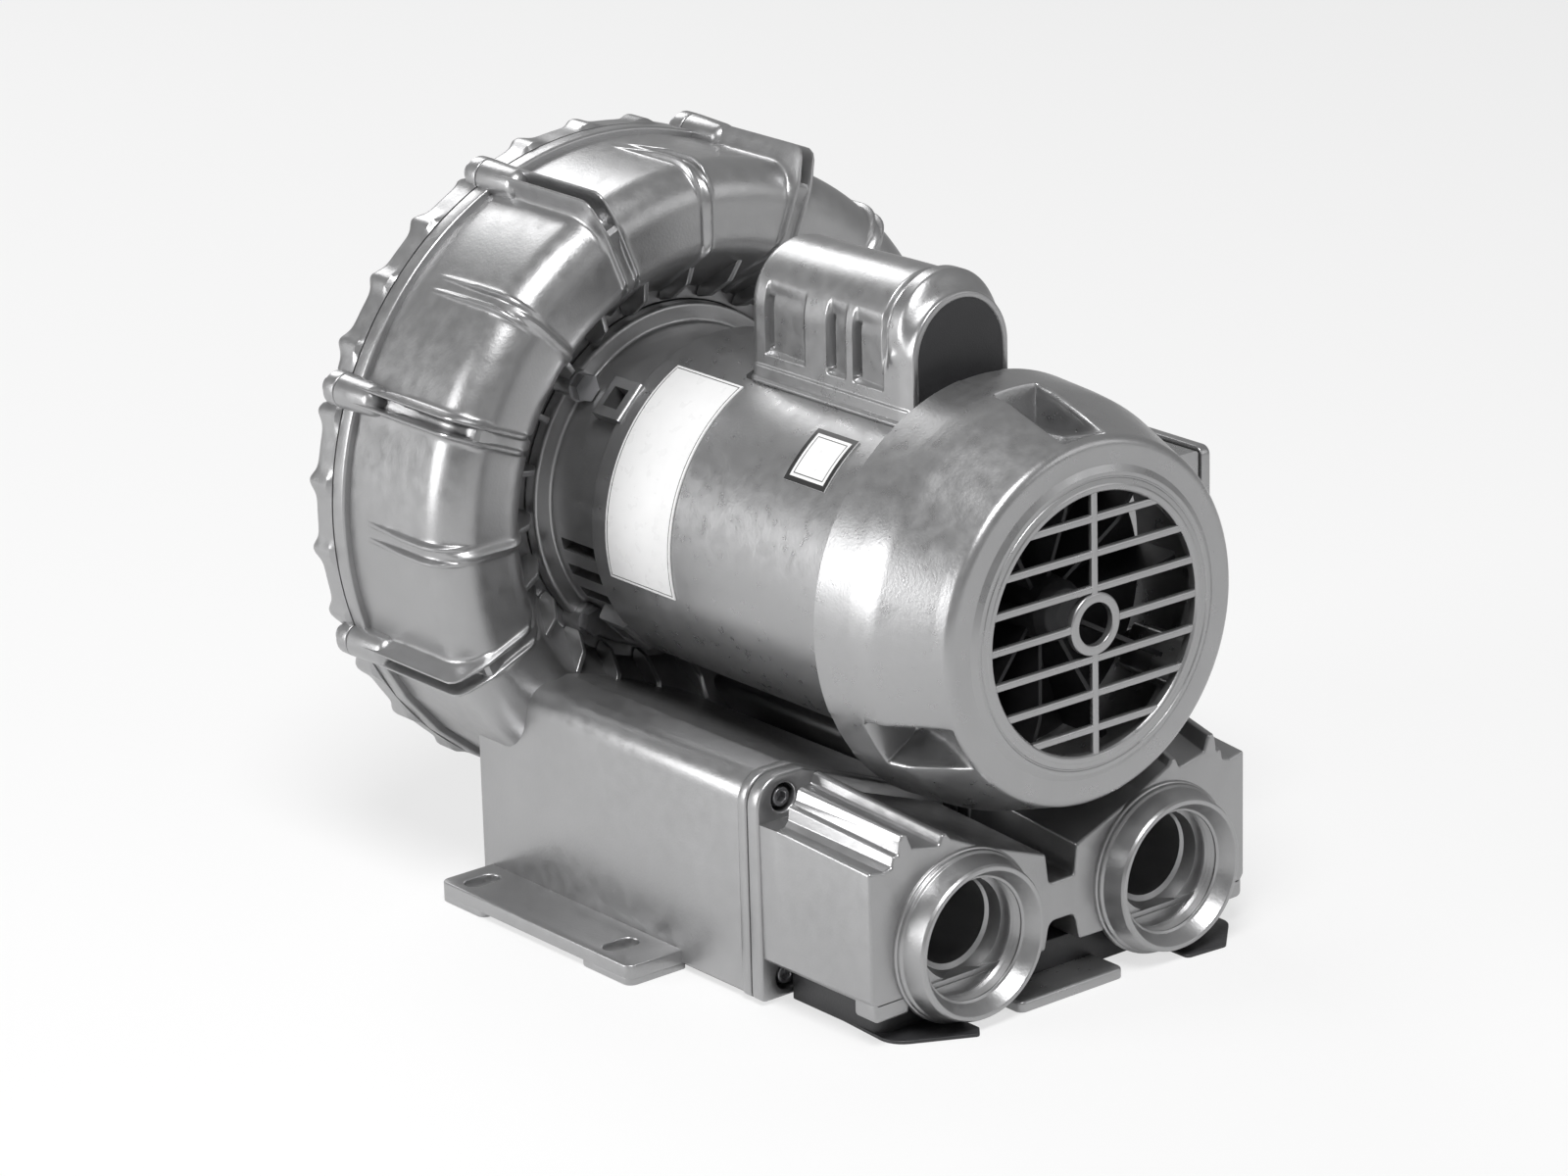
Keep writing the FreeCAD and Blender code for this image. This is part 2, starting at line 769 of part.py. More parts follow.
def port_manifold():
    body = new_body("port_manifold")
    corners = half_section + other_side(half_section) + other_side(low_section) + low_section
    box = outline(sketch_on(body, "XZ_Plane", flange_front), corners)
    pad(body, box, d.manifold_front - flange_front)
    # flange that lies on the tunnels
    for side in (1, -1):
        section = [(as_size(corner[0]) * side, *corner[1:]) for corner in tunnel_section]
        pad(body, outline(sketch_on(body, "XZ_Plane", manifold_rear), section), d.manifold_flange)
    web = rectangle(sketch_on(body, "XZ_Plane", manifold_rear),
                    -d.tunnel_inner - 2, up(d.tunnel_web_low), d.tunnel_inner + 2, up(d.tunnel_web_high))
    pad(body, web, d.manifold_flange)
    # ports
    centres = mirrored_places([(d.port_x, up(d.port_z))])
    front = d.manifold_front
    pad(body, circles(sketch_on(body, "XZ_Plane", front - 1), centres[:1], d.port_collar), 4)
    pad(body, circles(sketch_on(body, "XZ_Plane", front - 1), centres[1:], d.port_collar), 4)
    thread_end = front + d.port_length - d.port_thread_depth
    for centre in centres:
        rim = circles(sketch_on(body, "XZ_Plane", thread_end - 3), [centre], d.port_rim)
        pad(body, rim, d.port_thread_depth + 3)
    # hollow of each side
    inset = d.manifold_wall
    rooms = []
    for side in (1, -1):
        room = outline(sketch_on(body, "XZ_Plane", manifold_rear), [
            ((d.manifold_half - inset) * side, up(d.manifold_floor + inset), 6),
            ((d.manifold_half - inset) * side, up(d.manifold_side - inset)),
            ((d.manifold_half - 23) * side, up(ridge_high - inset - 1.5)),
            ((d.manifold_half - 47) * side, up(ridge_high - inset - 10.5)),
            ((d.manifold_half - 68) * side, up(ridge_high - inset - 17.5)),
            ((d.tunnel_inner + inset) * side, up(ridge_high - inset - 30)),
            ((d.tunnel_inner + inset) * side, up(d.manifold_floor + inset), 6),
        ])
        rooms.append(cut(body, room, d.manifold_front - manifold_rear - inset, back=True))
    bores = circles(sketch_on(body, "XZ_Plane", front + d.port_length), centres, d.port_bore)
    cut(body, bores, d.port_thread_depth)
    holes = circles(sketch_on(body, "XZ_Plane", flange_front), mirrored_places(tunnel_screws),
                    d.tunnel_screw + d.fastener_gap)
    cut(body, holes, d.manifold_flange + 1)
    holes = circles(sketch_on(body, "XY_Plane", up(d.manifold_floor)), tray_screw_places,
                    d.tray_screw + d.fastener_gap)
    cut(body, holes, d.manifold_wall + 1, back=True)


def manifold_gasket():
    body = new_body("manifold_gasket")
    for side in (1, -1):
        section = [(as_size(corner[0]) * side, *corner[1:]) for corner in tunnel_section]
        pad(body, outline(sketch_on(body, "XZ_Plane", d.tunnel_front), section), d.gasket_thick)
    web = rectangle(sketch_on(body, "XZ_Plane", d.tunnel_front),
                    -d.tunnel_inner - 2, up(d.tunnel_web_low), d.tunnel_inner + 2, up(d.tunnel_web_high))
    pad(body, web, d.gasket_thick)
    openings = circles(sketch_on(body, "XZ_Plane", manifold_rear),
                       mirrored_places([(d.tube_x, up(d.tube_z))]), d.foam_radius - 4)
    cut(body, openings, d.gasket_thick + 1)
    holes = circles(sketch_on(body, "XZ_Plane", manifold_rear), mirrored_places(tunnel_screws),
                    d.tunnel_screw + d.fastener_gap)
    cut(body, holes, d.gasket_thick + 1)


# Underside


plate_low = d.tunnel_floor - d.cover_plate_thick
cover_screw_places = [(x, y) for x in (-100, 100) for y in (-120, -30, 60)]
tray_screw_places = [(x, y) for x in (-88, 88) for y in (-166, -200)]


def base_cover():
    # the plate that closes the tunnels from below, with sunk screws
    body = new_body("base_cover", on_axis=False)
    plate = rectangle(sketch_on(body, "XY_Plane", plate_low), -d.tunnel_half + 4, -d.tunnel_front,
                      d.tunnel_half - 4, d.tunnel_rear - 2, 6)
    pad(body, plate, d.cover_plate_thick)
    sinks = circles(sketch_on(body, "XY_Plane", plate_low), cover_screw_places, 4.2)
    cut(body, sinks, 1.2, back=True)
    holes = circles(sketch_on(body, "XY_Plane", plate_low), cover_screw_places,
                    d.plate_screw + d.fastener_gap)
    cut(body, holes, d.cover_plate_thick + 1, back=True)
    screws = new_body("base_cover_screws", on_axis=False)
    seat = plate_low + 1.2
    pad(screws, circles(sketch_on(screws, "XY_Plane", seat), cover_screw_places, d.plate_screw), 5.5)
    pad(screws, circles(sketch_on(screws, "XY_Plane", seat), cover_screw_places, d.plate_screw * 2), 1.2,
        back=True)


def front_tray():
    # dark tray under the manifold: a thin skid that runs forward and a raised body behind the ports
    body = new_body("front_tray", on_axis=False)
    rear = -flange_front - 8
    corners = [
        (d.tray_half, rear),
        (d.tray_half, -d.manifold_front + 6, 20),
        (d.tray_half - 40, -d.tray_front, 3),
        (d.front_foot_half, -d.tray_front, 3),
        (d.front_foot_half, -d.front_foot_front + 24),
    ]
    pad(body, outline(sketch_on(body, "XY_Plane", 0), corners + other_side(corners)), d.tray_skid)
    raised_front = -d.manifold_front + d.port_thread_depth - d.port_length + 5
    raised = rectangle(sketch_on(body, "XY_Plane", 0), -d.tray_half, raised_front,
                       d.tray_half, rear, 7)
    pad(body, raised, d.manifold_floor)
    room = rectangle(sketch_on(body, "XY_Plane", d.manifold_floor), -d.tray_half + d.tray_wall,
                     raised_front + d.tray_wall, d.tray_half - d.tray_wall, rear - d.tray_wall, 5)
    cut(body, room, d.manifold_floor - d.tray_skid)
    posts = circles(sketch_on(body, "XY_Plane", 1), tray_screw_places, 6)
    pad(body, posts, d.manifold_floor - 1)
    sinks = circles(sketch_on(body, "XY_Plane", 0), tray_screw_places, 4.7)
    cut(body, sinks, 3, back=True)
    holes = circles(sketch_on(body, "XY_Plane", 0), tray_screw_places, d.tray_screw + d.fastener_gap)
    cut(body, holes, d.manifold_floor + 1, back=True)
    screws = new_body("tray_screws", on_axis=False)
    pad(screws, circles(sketch_on(screws, "XY_Plane", 3), tray_screw_places, d.tray_screw),
        d.manifold_floor)
    pad(screws, circles(sketch_on(screws, "XY_Plane", 3), tray_screw_places, d.tray_screw * 1.8), 2.6,
        back=True)
    foot = new_body("front_foot", on_axis=False)
    half = d.front_foot_half - 0.4
    pad(foot, rectangle(sketch_on(foot, "XY_Plane", 0), -half, -d.front_foot_front,
                        half, -d.front_foot_front + 23.6, 3), 6)
    post_front = -d.manifold_front + 3
    pad(foot, rectangle(sketch_on(foot, "XY_Plane", 5), -3.8, post_front, 3.8, post_front + 6),
        d.manifold_floor + 9)


# Drive end of the motor

frame_bore = d.frame_radius - d.frame_wall
bell_bore = d.bell_radius - d.bell_wall
drive_rear = d.drive_bearing_front + d.drive_bearing_width
bolt_turn = 45


def drive_end_bell():
    rim = d.frame_rear + 6
    flange = d.hub_face - d.bell_flange_thick
    web = d.hub_face - 16
    body = ring_piece("drive_end_bell", [
        (d.frame_rear - 6, bell_bore),
        (d.frame_rear - 6, frame_bore),
        (d.frame_rear, frame_bore),
        (d.frame_rear, d.frame_radius),
        (rim, d.frame_radius, 1.5),
        (rim, d.bell_radius),
        (flange, d.bell_radius, 2),
        (flange, d.bell_flange, 2),
        (d.hub_face, d.bell_flange),
        (d.hub_face, d.pilot_radius - d.fastener_gap),
        (pilot_floor - 0.5, d.pilot_radius - d.fastener_gap),
        (pilot_floor - 0.5, d.shaft_drive + 1),
        (drive_rear + 0.2, d.shaft_drive + 1),
        (drive_rear + 0.2, d.drive_bearing_radius),
        (d.drive_bearing_front - 0.6, d.drive_bearing_radius),
        (d.drive_bearing_front - 0.6, d.drive_bearing_radius + 8),
        (web, d.drive_bearing_radius + 8, 4),
        (web, bell_bore, 4),
    ])
    # lugs for the four flange screws, and raised pads over the four bolt pockets
    lugs = circles(sketch_on(body, "XZ_Plane", -d.hub_face, bolt_turn),
                   [(0, d.flange_bolt_circle)], d.flange_screw * 2)
    around(body, [pad(body, lugs, d.bell_flange_thick + 5)], 4)
    lift = outline(sketch_on(body, "YZ_Plane", 0, bolt_turn), [
        (d.frame_rear + 2, bell_bore + 2),
        (d.frame_rear + 2, d.frame_radius + 1.5, 2),
        (d.frame_rear + 24, d.frame_radius + 1.5, 2),
        (d.frame_rear + 27, bell_bore + 2),
    ])
    around(body, [pad(body, lift, 22, centred=True)], 4)
    pocket = rectangle(sketch_on(body, "YZ_Plane", 0, bolt_turn), d.frame_rear + 8, bell_bore - 4,
                       d.frame_rear + 19, d.frame_radius + 4)
    around(body, [cut(body, pocket, 11.5, centred=True)], 4)
    # three air slots low on each side
    for side in (-1, 1):
        for turn in (102, 113, 124):
            slot = rectangle(sketch_on(body, "YZ_Plane", 0, turn * side), d.frame_rear + 10,
                             bell_bore - 4, flange - 6, d.bell_radius + 4)
            cut(body, slot, 7, centred=True)
    holes = circles(sketch_on(body, "XZ_Plane", -d.hub_face, bolt_turn),
                    [(0, d.flange_bolt_circle)], d.flange_screw + d.fastener_gap)
    around(body, [cut(body, holes, d.bell_flange_thick + 8, back=True)], 4)
    holes = circles(sketch_on(body, "XZ_Plane", -d.frame_rear + 7, bolt_turn),
                    [(0, d.bolt_circle)], d.through_bolt + d.fastener_gap)
    around(body, [cut(body, holes, 16)], 4)


def flange_screws():
    # hexagon screws that hold the motor to the blower casing
    body = new_body("flange_screws")
    seat = d.hub_face - d.bell_flange_thick - 5
    shank = pad(body, circles(sketch_on(body, "XZ_Plane", -seat, bolt_turn),
                              [(0, d.flange_bolt_circle)], d.flange_screw),
                d.bell_flange_thick + 13, back=True)
    head = pad(body, hexagons(sketch_on(body, "XZ_Plane", -seat, bolt_turn),
                              [(as_size(0), d.flange_bolt_circle)], d.flange_screw * 1.85),
               d.flange_screw * 1.3)
    around(body, [shank, head], 4)


def through_bolts():
    # four long bolts that clamp both end bells on the frame
    body = new_body("through_bolts")
    head_seat = -d.frame_front - 6
    nut_seat = d.frame_rear + 8
    shank = pad(body, circles(sketch_on(body, "XZ_Plane", -head_seat, bolt_turn),
                              [(0, d.bolt_circle)], d.through_bolt),
                nut_seat - head_seat + 7, back=True)
    head = pad(body, hexagons(sketch_on(body, "XZ_Plane", -head_seat, bolt_turn),
                              [(as_size(0), d.bolt_circle)], as_size(4.5)), 3.5)
    nut = pad(body, hexagons(sketch_on(body, "XZ_Plane", -nut_seat, bolt_turn),
                             [(as_size(0), d.bolt_circle)], as_size(4.5)), 4, back=True)
    around(body, [shank, head, nut], 4)


def shaft_seal():
    ring_piece("shaft_seal", [
        (pilot_floor + 0.5, d.shaft_seal + d.running_gap * 2),
        (pilot_floor + 0.5, seal_bore),
        (d.chamber_front - 0.5, seal_bore),
        (d.chamber_front - 0.5, seal_bore - 3),
        (pilot_floor + 3, seal_bore - 3),
        (pilot_floor + 3, d.shaft_seal + d.running_gap * 2),
    ])


def bearing(name, front, width, outer, inner, ball, balls):
    # Outer ring, inner ring and the balls between them
    pitch = (outer + inner) / 2
    race = ball + 0.05
    land = ball * 0.72
    bite = ball * 0.694
    middle = front + width / 2
    rear = front + width
    ring_piece(f"{name}_bearing_outer", [
        (front, pitch + land),
        (front, outer),
        (rear, outer),
        (rear, pitch + land),
        (middle + bite, pitch + land),
        (middle + bite * 0.55, pitch + race),
        (middle - bite * 0.55, pitch + race),
        (middle - bite, pitch + land),
    ])
    ring_piece(f"{name}_bearing_inner", [
        (front, inner),
        (front, pitch - land),
        (middle - bite, pitch - land),
        (middle - bite * 0.55, pitch - race),
        (middle + bite * 0.55, pitch - race),
        (middle + bite, pitch - land),
        (rear, pitch - land),
        (rear, inner),
    ])
    body = new_body(f"{name}_bearing_balls")
    sphere = body.newObject("PartDesign::AdditiveSphere", f"{body.Name}_ball")
    sphere.Placement = Placement(Vector(0, middle.value, pitch.value), Rotation())
    sphere.Radius = ball.value
    bind(sphere, "Radius", ball)
    around(body, [sphere], balls)


# Motor

tail_bell_front = d.frame_front + d.tail_bell_depth
box_middle = -(d.box_front + d.box_rear) / 2


def motor_frame():
    body = ring_piece("motor_frame", [
        (-d.frame_front, frame_bore),
        (-d.frame_front, d.frame_radius),
        (d.frame_rear, d.frame_radius),
        (d.frame_rear, frame_bore),
    ])
    # lead holes under the capacitor and behind the terminal box
    leads = circles(sketch_on(body, "XY_Plane", 0), [(0, -d.dome_rear - 22)], 9)
    cut(body, leads, d.frame_radius + 5, back=True)
    leads = circles(sketch_on(body, "YZ_Plane", 0), [(box_middle, 0)], d.lead_hole)
    cut(body, leads, d.frame_radius + 5, back=True)


def stator_core():
    body = ring_piece("stator_core", [
        (-d.core_front, d.rotor_radius + d.rotor_gap),
        (-d.core_front, frame_bore),
        (-d.core_rear, frame_bore),
        (-d.core_rear, d.rotor_radius + d.rotor_gap),
    ])
    notch = rectangle(sketch_on(body, "YZ_Plane", 0, bolt_turn), -d.core_front - 1,
                      d.bolt_circle - d.through_bolt - 1, -d.core_rear + 1, frame_bore + 2)
    around(body, [cut(body, notch, d.through_bolt * 2 + 2, centred=True)], 4)


def stator_windings():
    body = new_body("stator_windings")
    low = d.rotor_radius + 5
    high = d.bolt_circle - d.through_bolt - 2
    for near, far in ((-d.core_front, -d.core_front - d.winding_reach),
                      (-d.core_rear, -d.core_rear + d.winding_reach)):
        coil = outline(sketch_on(body, "YZ_Plane"), [
            (near, low), (near, high), (far, high, 6), (far, low, 6),
        ])
        turned(body, coil)


def tail_end_bell():
    inner_web = -d.frame_front - 6
    outer_web = -tail_bell_front
    housing = d.tail_bearing_radius + 7
    seat_floor = -d.tail_bearing_front - d.spring_thick - 1.4
    body = ring_piece("tail_end_bell", [
        (-d.frame_front, frame_bore),
        (-d.frame_front, d.frame_radius),
        (inner_web, d.frame_radius, 2),
        (outer_web, bell_bore + 3, 3),
        (outer_web, housing),
        (seat_floor - 3, housing, 2),
        (seat_floor - 3, d.shaft_tail + 2.5),
        (seat_floor, d.shaft_tail + 2.5),
        (seat_floor, d.tail_bearing_radius),
        (-d.frame_front - 4, d.tail_bearing_radius),
        (-d.frame_front - 4, housing),
        (inner_web, housing),
        (inner_web, bell_bore),
        (-d.frame_front + 6, bell_bore),
        (-d.frame_front + 6, frame_bore),
    ])
    # pillars that carry the fan cover screws, each with a gusset
    seat = d.pocket_rear - d.cover_wall
    for turn in cover_screw_turns:
        pillar = circles(sketch_on(body, "XZ_Plane", seat, turn), [(0, d.cover_screw_circle)], 8)
        pad(body, pillar, seat - d.frame_front - 2, back=True)
        gusset = outline(sketch_on(body, "YZ_Plane", 0, turn), [
            (outer_web + 3, d.cover_screw_circle - 30),
            (outer_web + 3, d.cover_screw_circle),
            (1 - seat, d.cover_screw_circle),
            (1 - seat, d.cover_screw_circle - 7),
        ])
        pad(body, gusset, 6, centred=True)
    for turn in cover_screw_turns:
        hole = circles(sketch_on(body, "XZ_Plane", d.pocket_rear, turn),
                       [(0, d.cover_screw_circle)], d.cover_screw + d.fastener_gap)
        cut(body, hole, 13)
    recess = circles(sketch_on(body, "XZ_Plane", d.frame_front + 6, bolt_turn),
                     [(0, d.bolt_circle)], 6)
    around(body, [cut(body, recess, 20, back=True)], 4)
    holes = circles(sketch_on(body, "XZ_Plane", tail_bell_front, bolt_turn),
                    [(0, d.bolt_circle)], d.through_bolt + d.fastener_gap)
    around(body, [cut(body, holes, 30)], 4)


def wave_spring():
    ring_piece("wave_spring", [
        (-d.tail_bearing_front, d.tail_bearing_radius - 4),
        (-d.tail_bearing_front, d.tail_bearing_radius - 0.5),
        (-d.tail_bearing_front - d.spring_thick - 1.4, d.tail_bearing_radius - 0.5),
        (-d.tail_bearing_front - d.spring_thick - 1.4, d.tail_bearing_radius - 4),
    ])


# Rotor

hub_front = d.mouth_plane - 2
hub_rear = hub_front + d.impeller_hub_length
web_front = d.mouth_plane + 12
bowl_floor = d.mouth_plane + d.bowl_depth
bowl_outer = impeller_radius - d.bowl_wall
bowl_inner = d.channel_inner + d.bowl_wall
key_front = hub_front + 4


def motor_shaft():
    body = ring_piece("motor_shaft", [
        (-d.fan_front + 8, 0),
        (-d.fan_front + 8, d.shaft_fan),
        (-d.tail_bearing_front - 1, d.shaft_fan),
        (-d.tail_bearing_front - 1, d.shaft_tail),
        (-d.tail_bearing_front + d.tail_bearing_width, d.shaft_tail),
        (-d.tail_bearing_front + d.tail_bearing_width, d.shaft_drive - 2),
        (-d.core_front - 14, d.shaft_core),
        (d.drive_bearing_front, d.shaft_core),
        (d.drive_bearing_front, d.shaft_drive),
        (drive_rear + 2, d.shaft_drive),
        (drive_rear + 2, d.shaft_seal),
        (hub_front, d.shaft_seal),
        (hub_front, d.shaft_impeller),
        (hub_rear - 1, d.shaft_impeller),
        (hub_rear - 1, 0),
    ])
    slot = rectangle(sketch_on(body, "YZ_Plane"), key_front, d.shaft_impeller - 3.5,
                     key_front + d.key_length, d.shaft_impeller + 1)
    cut(body, slot, d.key_width, centred=True)
    tapped = circles(sketch_on(body, "XZ_Plane", -hub_rear), [(0, 0)], 4 + d.fastener_gap)
    cut(body, tapped, 24, back=True)


def rotor_core():
    ring_piece("rotor_core", [
        (-d.core_front, d.shaft_core),
        (-d.core_front - 11, d.rotor_radius - 16),
        (-d.core_front - 11, d.rotor_radius - 3),
        (-d.core_front, d.rotor_radius - 2),
        (-d.core_front, d.rotor_radius),
        (-d.core_rear, d.rotor_radius),
        (-d.core_rear, d.rotor_radius - 2),
        (-d.core_rear + 11, d.rotor_radius - 3),
        (-d.core_rear + 11, d.rotor_radius - 16),
        (-d.core_rear, d.shaft_core),
    ])


def impeller():
    back = bowl_floor + d.impeller_back
    body = ring_piece("impeller", [
        (d.mouth_plane, impeller_radius),
        (d.mouth_plane, bowl_outer),
        (bowl_floor, bowl_outer, d.bowl_round),
        (bowl_floor, bowl_inner, d.bowl_round),
        (d.mouth_plane, bowl_inner),
        (d.mouth_plane, d.channel_inner + 0.5),
        (web_front, d.channel_inner + 0.5),
        (web_front, d.impeller_hub, 6),
        (hub_front, d.impeller_hub),
        (hub_front, d.shaft_impeller),
        (hub_rear, d.shaft_impeller),
        (hub_rear, d.impeller_hub),
        (web_front + d.web_thick, d.impeller_hub, 3),
        (web_front + d.web_thick, d.channel_inner + 0.5, 3),
        (back, bowl_inner + 2, 10),
        (back, impeller_radius, d.bowl_round + 2),
    ])
    vane = outline(sketch_on(body, "YZ_Plane"), [
        (d.mouth_plane, bowl_outer + 1),
        (bowl_floor + 1, bowl_outer + 1, d.bowl_round),
        (bowl_floor + 1, bowl_inner - 1, d.bowl_round),
        (d.mouth_plane, bowl_inner - 1),
    ])
    around(body, [pad(body, vane, d.vane_thick, centred=True)], d.vane_count)
    keyway = rectangle(sketch_on(body, "YZ_Plane"), hub_front - 1, 0, hub_rear + 1,
                       d.shaft_impeller + 3)
    cut(body, keyway, d.key_width, centred=True)
    # three balancing holes through the web
    holes = circles(sketch_on(body, "XZ_Plane", -web_front), [(0, d.impeller_hub + 34)], 9)
    around(body, [cut(body, holes, d.web_thick + 2, back=True)], 6)


def impeller_fixings():
    key = new_body("impeller_key")
    pad(key, rectangle(sketch_on(key, "YZ_Plane"), key_front, d.shaft_impeller - 3.5,
                       key_front + d.key_length, d.shaft_impeller + 2.9), d.key_width, centred=True)
    ring_piece("impeller_washer", [
        (hub_rear, 4.3), (hub_rear, 17), (hub_rear + 3, 17, 1), (hub_rear + 3, 4.3),
    ])
    screw = new_body("impeller_screw")
    seat = -hub_rear - 3
    pad(screw, circles(sketch_on(screw, "XZ_Plane", seat), [(0, 0)], 4), 24)
    pad(screw, hexagons(sketch_on(screw, "XZ_Plane", seat), [(as_size(0), as_size(0))], as_size(7.5)),
        5.3, back=True)


def cooling_fan():
    disc = -d.fan_disc
    nose = -d.fan_front + 12
    body = ring_piece("cooling_fan", [
        (nose, d.shaft_fan),
        (nose, d.fan_hub, 2),
        (disc, d.fan_hub + 2),
        (disc, d.fan_radius),
        (disc + 2.5, d.fan_radius),
        (disc + 2.5, d.fan_hub + 2),
        (disc + 8, d.fan_hub),
        (disc + 8, d.shaft_fan),
    ])
    blade = outline(sketch_on(body, "YZ_Plane"), [
        (disc + 1, d.fan_hub - 2),
        (disc + 1, d.fan_radius),
        (-d.fan_front + 4, d.fan_radius, 4),
        (-d.fan_front + 4, d.fan_radius - 22, 6),
        (nose + 6, d.fan_hub - 2),
    ])
    around(body, [pad(body, blade, 2.2, centred=True)], d.fan_blades)
    ring_piece("fan_clip", [
        (nose, d.shaft_fan), (nose - 1.5, d.shaft_fan), (nose - 1.5, d.shaft_fan + 4),
        (nose, d.shaft_fan + 4),
    ])


# Fan cover

cover_screw_turns = (0, 120, 240)


def fan_cover():
    face = -d.cover_face
    rear = -d.cover_rear
    bend = -d.cover_bend
    lip = face + 2.5
    wall = d.cover_wall
    body = ring_piece("fan_cover", [
        (rear, d.cover_radius - wall),
        (rear, d.cover_radius),
        (bend, d.cover_bend_radius, 60),
        (lip, d.cover_face_radius, 6),
        (lip, d.grille_radius + 13),
        (face, d.grille_radius + 9.5, 1),
        (face, d.grille_radius + 4, 2),
        (face + 3, d.grille_radius),
        (face + 5.5, d.grille_radius),
        (face + 3, d.grille_radius + 6),
        (lip + wall, d.grille_radius + 12),
        (lip + wall, d.cover_face_radius - wall, 4),
        (bend, d.cover_bend_radius - wall, 58),
    ])
    # screw pockets sunk into the skin, with a floor that runs out towards the face
    floor = d.pocket_floor
    back = -d.pocket_rear
    for turn in cover_screw_turns:
        skin = outline(sketch_on(body, "YZ_Plane", 0, turn), [
            (back + wall, floor - wall),
            (back + wall, d.cover_radius - 4),
            (bend, d.cover_bend_radius - 3),
            (lip + 6.5, d.cover_face_radius - 0.8),
            (lip + 6.5, floor + 7.2),
            (back - d.pocket_run, floor - wall),
        ])
        pad(body, skin, (d.pocket_half + wall) * 2, centred=True)
    for turn in cover_screw_turns:
        hollow = outline(sketch_on(body, "YZ_Plane", 0, turn), [
            (back, floor),
            (back, d.cover_radius + 6),
            (back - d.pocket_reach, d.cover_radius + 6),
            (back - d.pocket_reach, floor + d.pocket_rise),
            (back - d.pocket_run, floor, 20),
        ])
        cut(body, hollow, d.pocket_half * 2, centred=True)
    for turn in cover_screw_turns:
        hole = circles(sketch_on(body, "XZ_Plane", d.pocket_rear, turn),
                       [(0, d.cover_screw_circle)], d.cover_screw + d.fastener_gap)
        cut(body, hole, 5)
    grille(body)


def grille(body):
    # seven bars, one upright and a centre ring
    plane = d.cover_face - 3
    reach = d.grille_radius + 1
    bars = sketch_on(body, "XZ_Plane", plane - 3)
    half = d.bar_thick / 2
    for place in range(-3, 4):
        height = d.bar_pitch * place
        span = (reach * reach - height * height).root()
        rectangle(bars, -span, height - half, span, height + half)
    pad(body, bars, 3)
    upright = rectangle(sketch_on(body, "XZ_Plane", plane - 3), -half, -reach, half, reach)
    pad(body, upright, 3)
    ring = circles(sketch_on(body, "XZ_Plane", plane - 3), [(0, 0)], d.grille_ring)
    pad(body, ring, 3)
    bore = circles(sketch_on(body, "XZ_Plane", plane + 1), [(0, 0)], d.grille_ring_bore)
    cut(body, bore, 6)


def fan_cover_screws():
    body = new_body("fan_cover_screws")
    for turn in cover_screw_turns:
        centre = [(as_size(0), d.cover_screw_circle)]
        shank = sketch_on(body, "XZ_Plane", d.pocket_rear, turn)
        pad(body, circles(shank, centre, d.cover_screw), 7, back=True)
        head = sketch_on(body, "XZ_Plane", d.pocket_rear, turn)
        pad(body, circles(head, centre, 5), 3.5)
        slot = sketch_on(body, "XZ_Plane", d.pocket_rear + 3.5, turn)
        rectangle(slot, -4, d.cover_screw_circle - 0.6, 4, d.cover_screw_circle + 0.6)
        cut(body, slot, 1.4)


# Capacitor on top of the motor


def dome_section(half, top, sink):
    return [
        (-half, sink),
        (half, sink),
        (half, top, half - 0.5),
        (-half, top, half - 0.5),
    ]


def capacitor_cover():
    body = new_body("capacitor_cover")
    low = d.frame_radius - 14
    main = outline(sketch_on(body, "XZ_Plane", d.dome_rear), dome_section(d.dome_half, d.dome_top, low))
    pad(body, main, d.dome_front - d.dome_rear)
    rim = outline(sketch_on(body, "XZ_Plane", d.dome_front - 1),
                  dome_section(d.nose_half, d.nose_top, low))
    pad(body, rim, d.nose_front - d.dome_front + 1)
    swell = outline(sketch_on(body, "XZ_Plane", d.dome_front + 3),
                    dome_section(d.dome_half, d.dome_top + 1.5, low))
    pad(body, swell, 9)
    # sunk panels on both flanks
    sill = d.frame_radius + 12
    crest = d.dome_top - d.dome_half + 6
    for side in (-1, 1):
        for near, far in ((46, 74), (93, 104), (112, 131)):
            panel = sketch_on(body, "YZ_Plane", d.dome_half * side)
            rectangle(panel, -far, sill, -near, crest, 1.2)
            cut(body, panel, 1.2, back=side < 0)
    # inside, open to the frame below
    inner = d.dome_half - d.dome_wall
    room = outline(sketch_on(body, "XZ_Plane", d.dome_front - d.dome_wall),
                   dome_section(inner, d.dome_top - d.dome_wall, low - 1))
    cut(body, room, d.dome_front - d.dome_rear - d.dome_wall * 2)
    window = outline(sketch_on(body, "XZ_Plane", d.nose_front),
                     dome_section(d.nose_half - 2.5, d.nose_top - 2.5, low - 1))
    cut(body, window, 2)
    saddle = outline(sketch_on(body, "YZ_Plane"), [
        (-d.nose_front - 5, 0), (-d.dome_rear + 5, 0),
        (-d.dome_rear + 5, d.frame_radius + d.gasket_thick),
        (-d.nose_front - 5, d.frame_radius + d.gasket_thick),
    ])
    grooved(body, saddle)


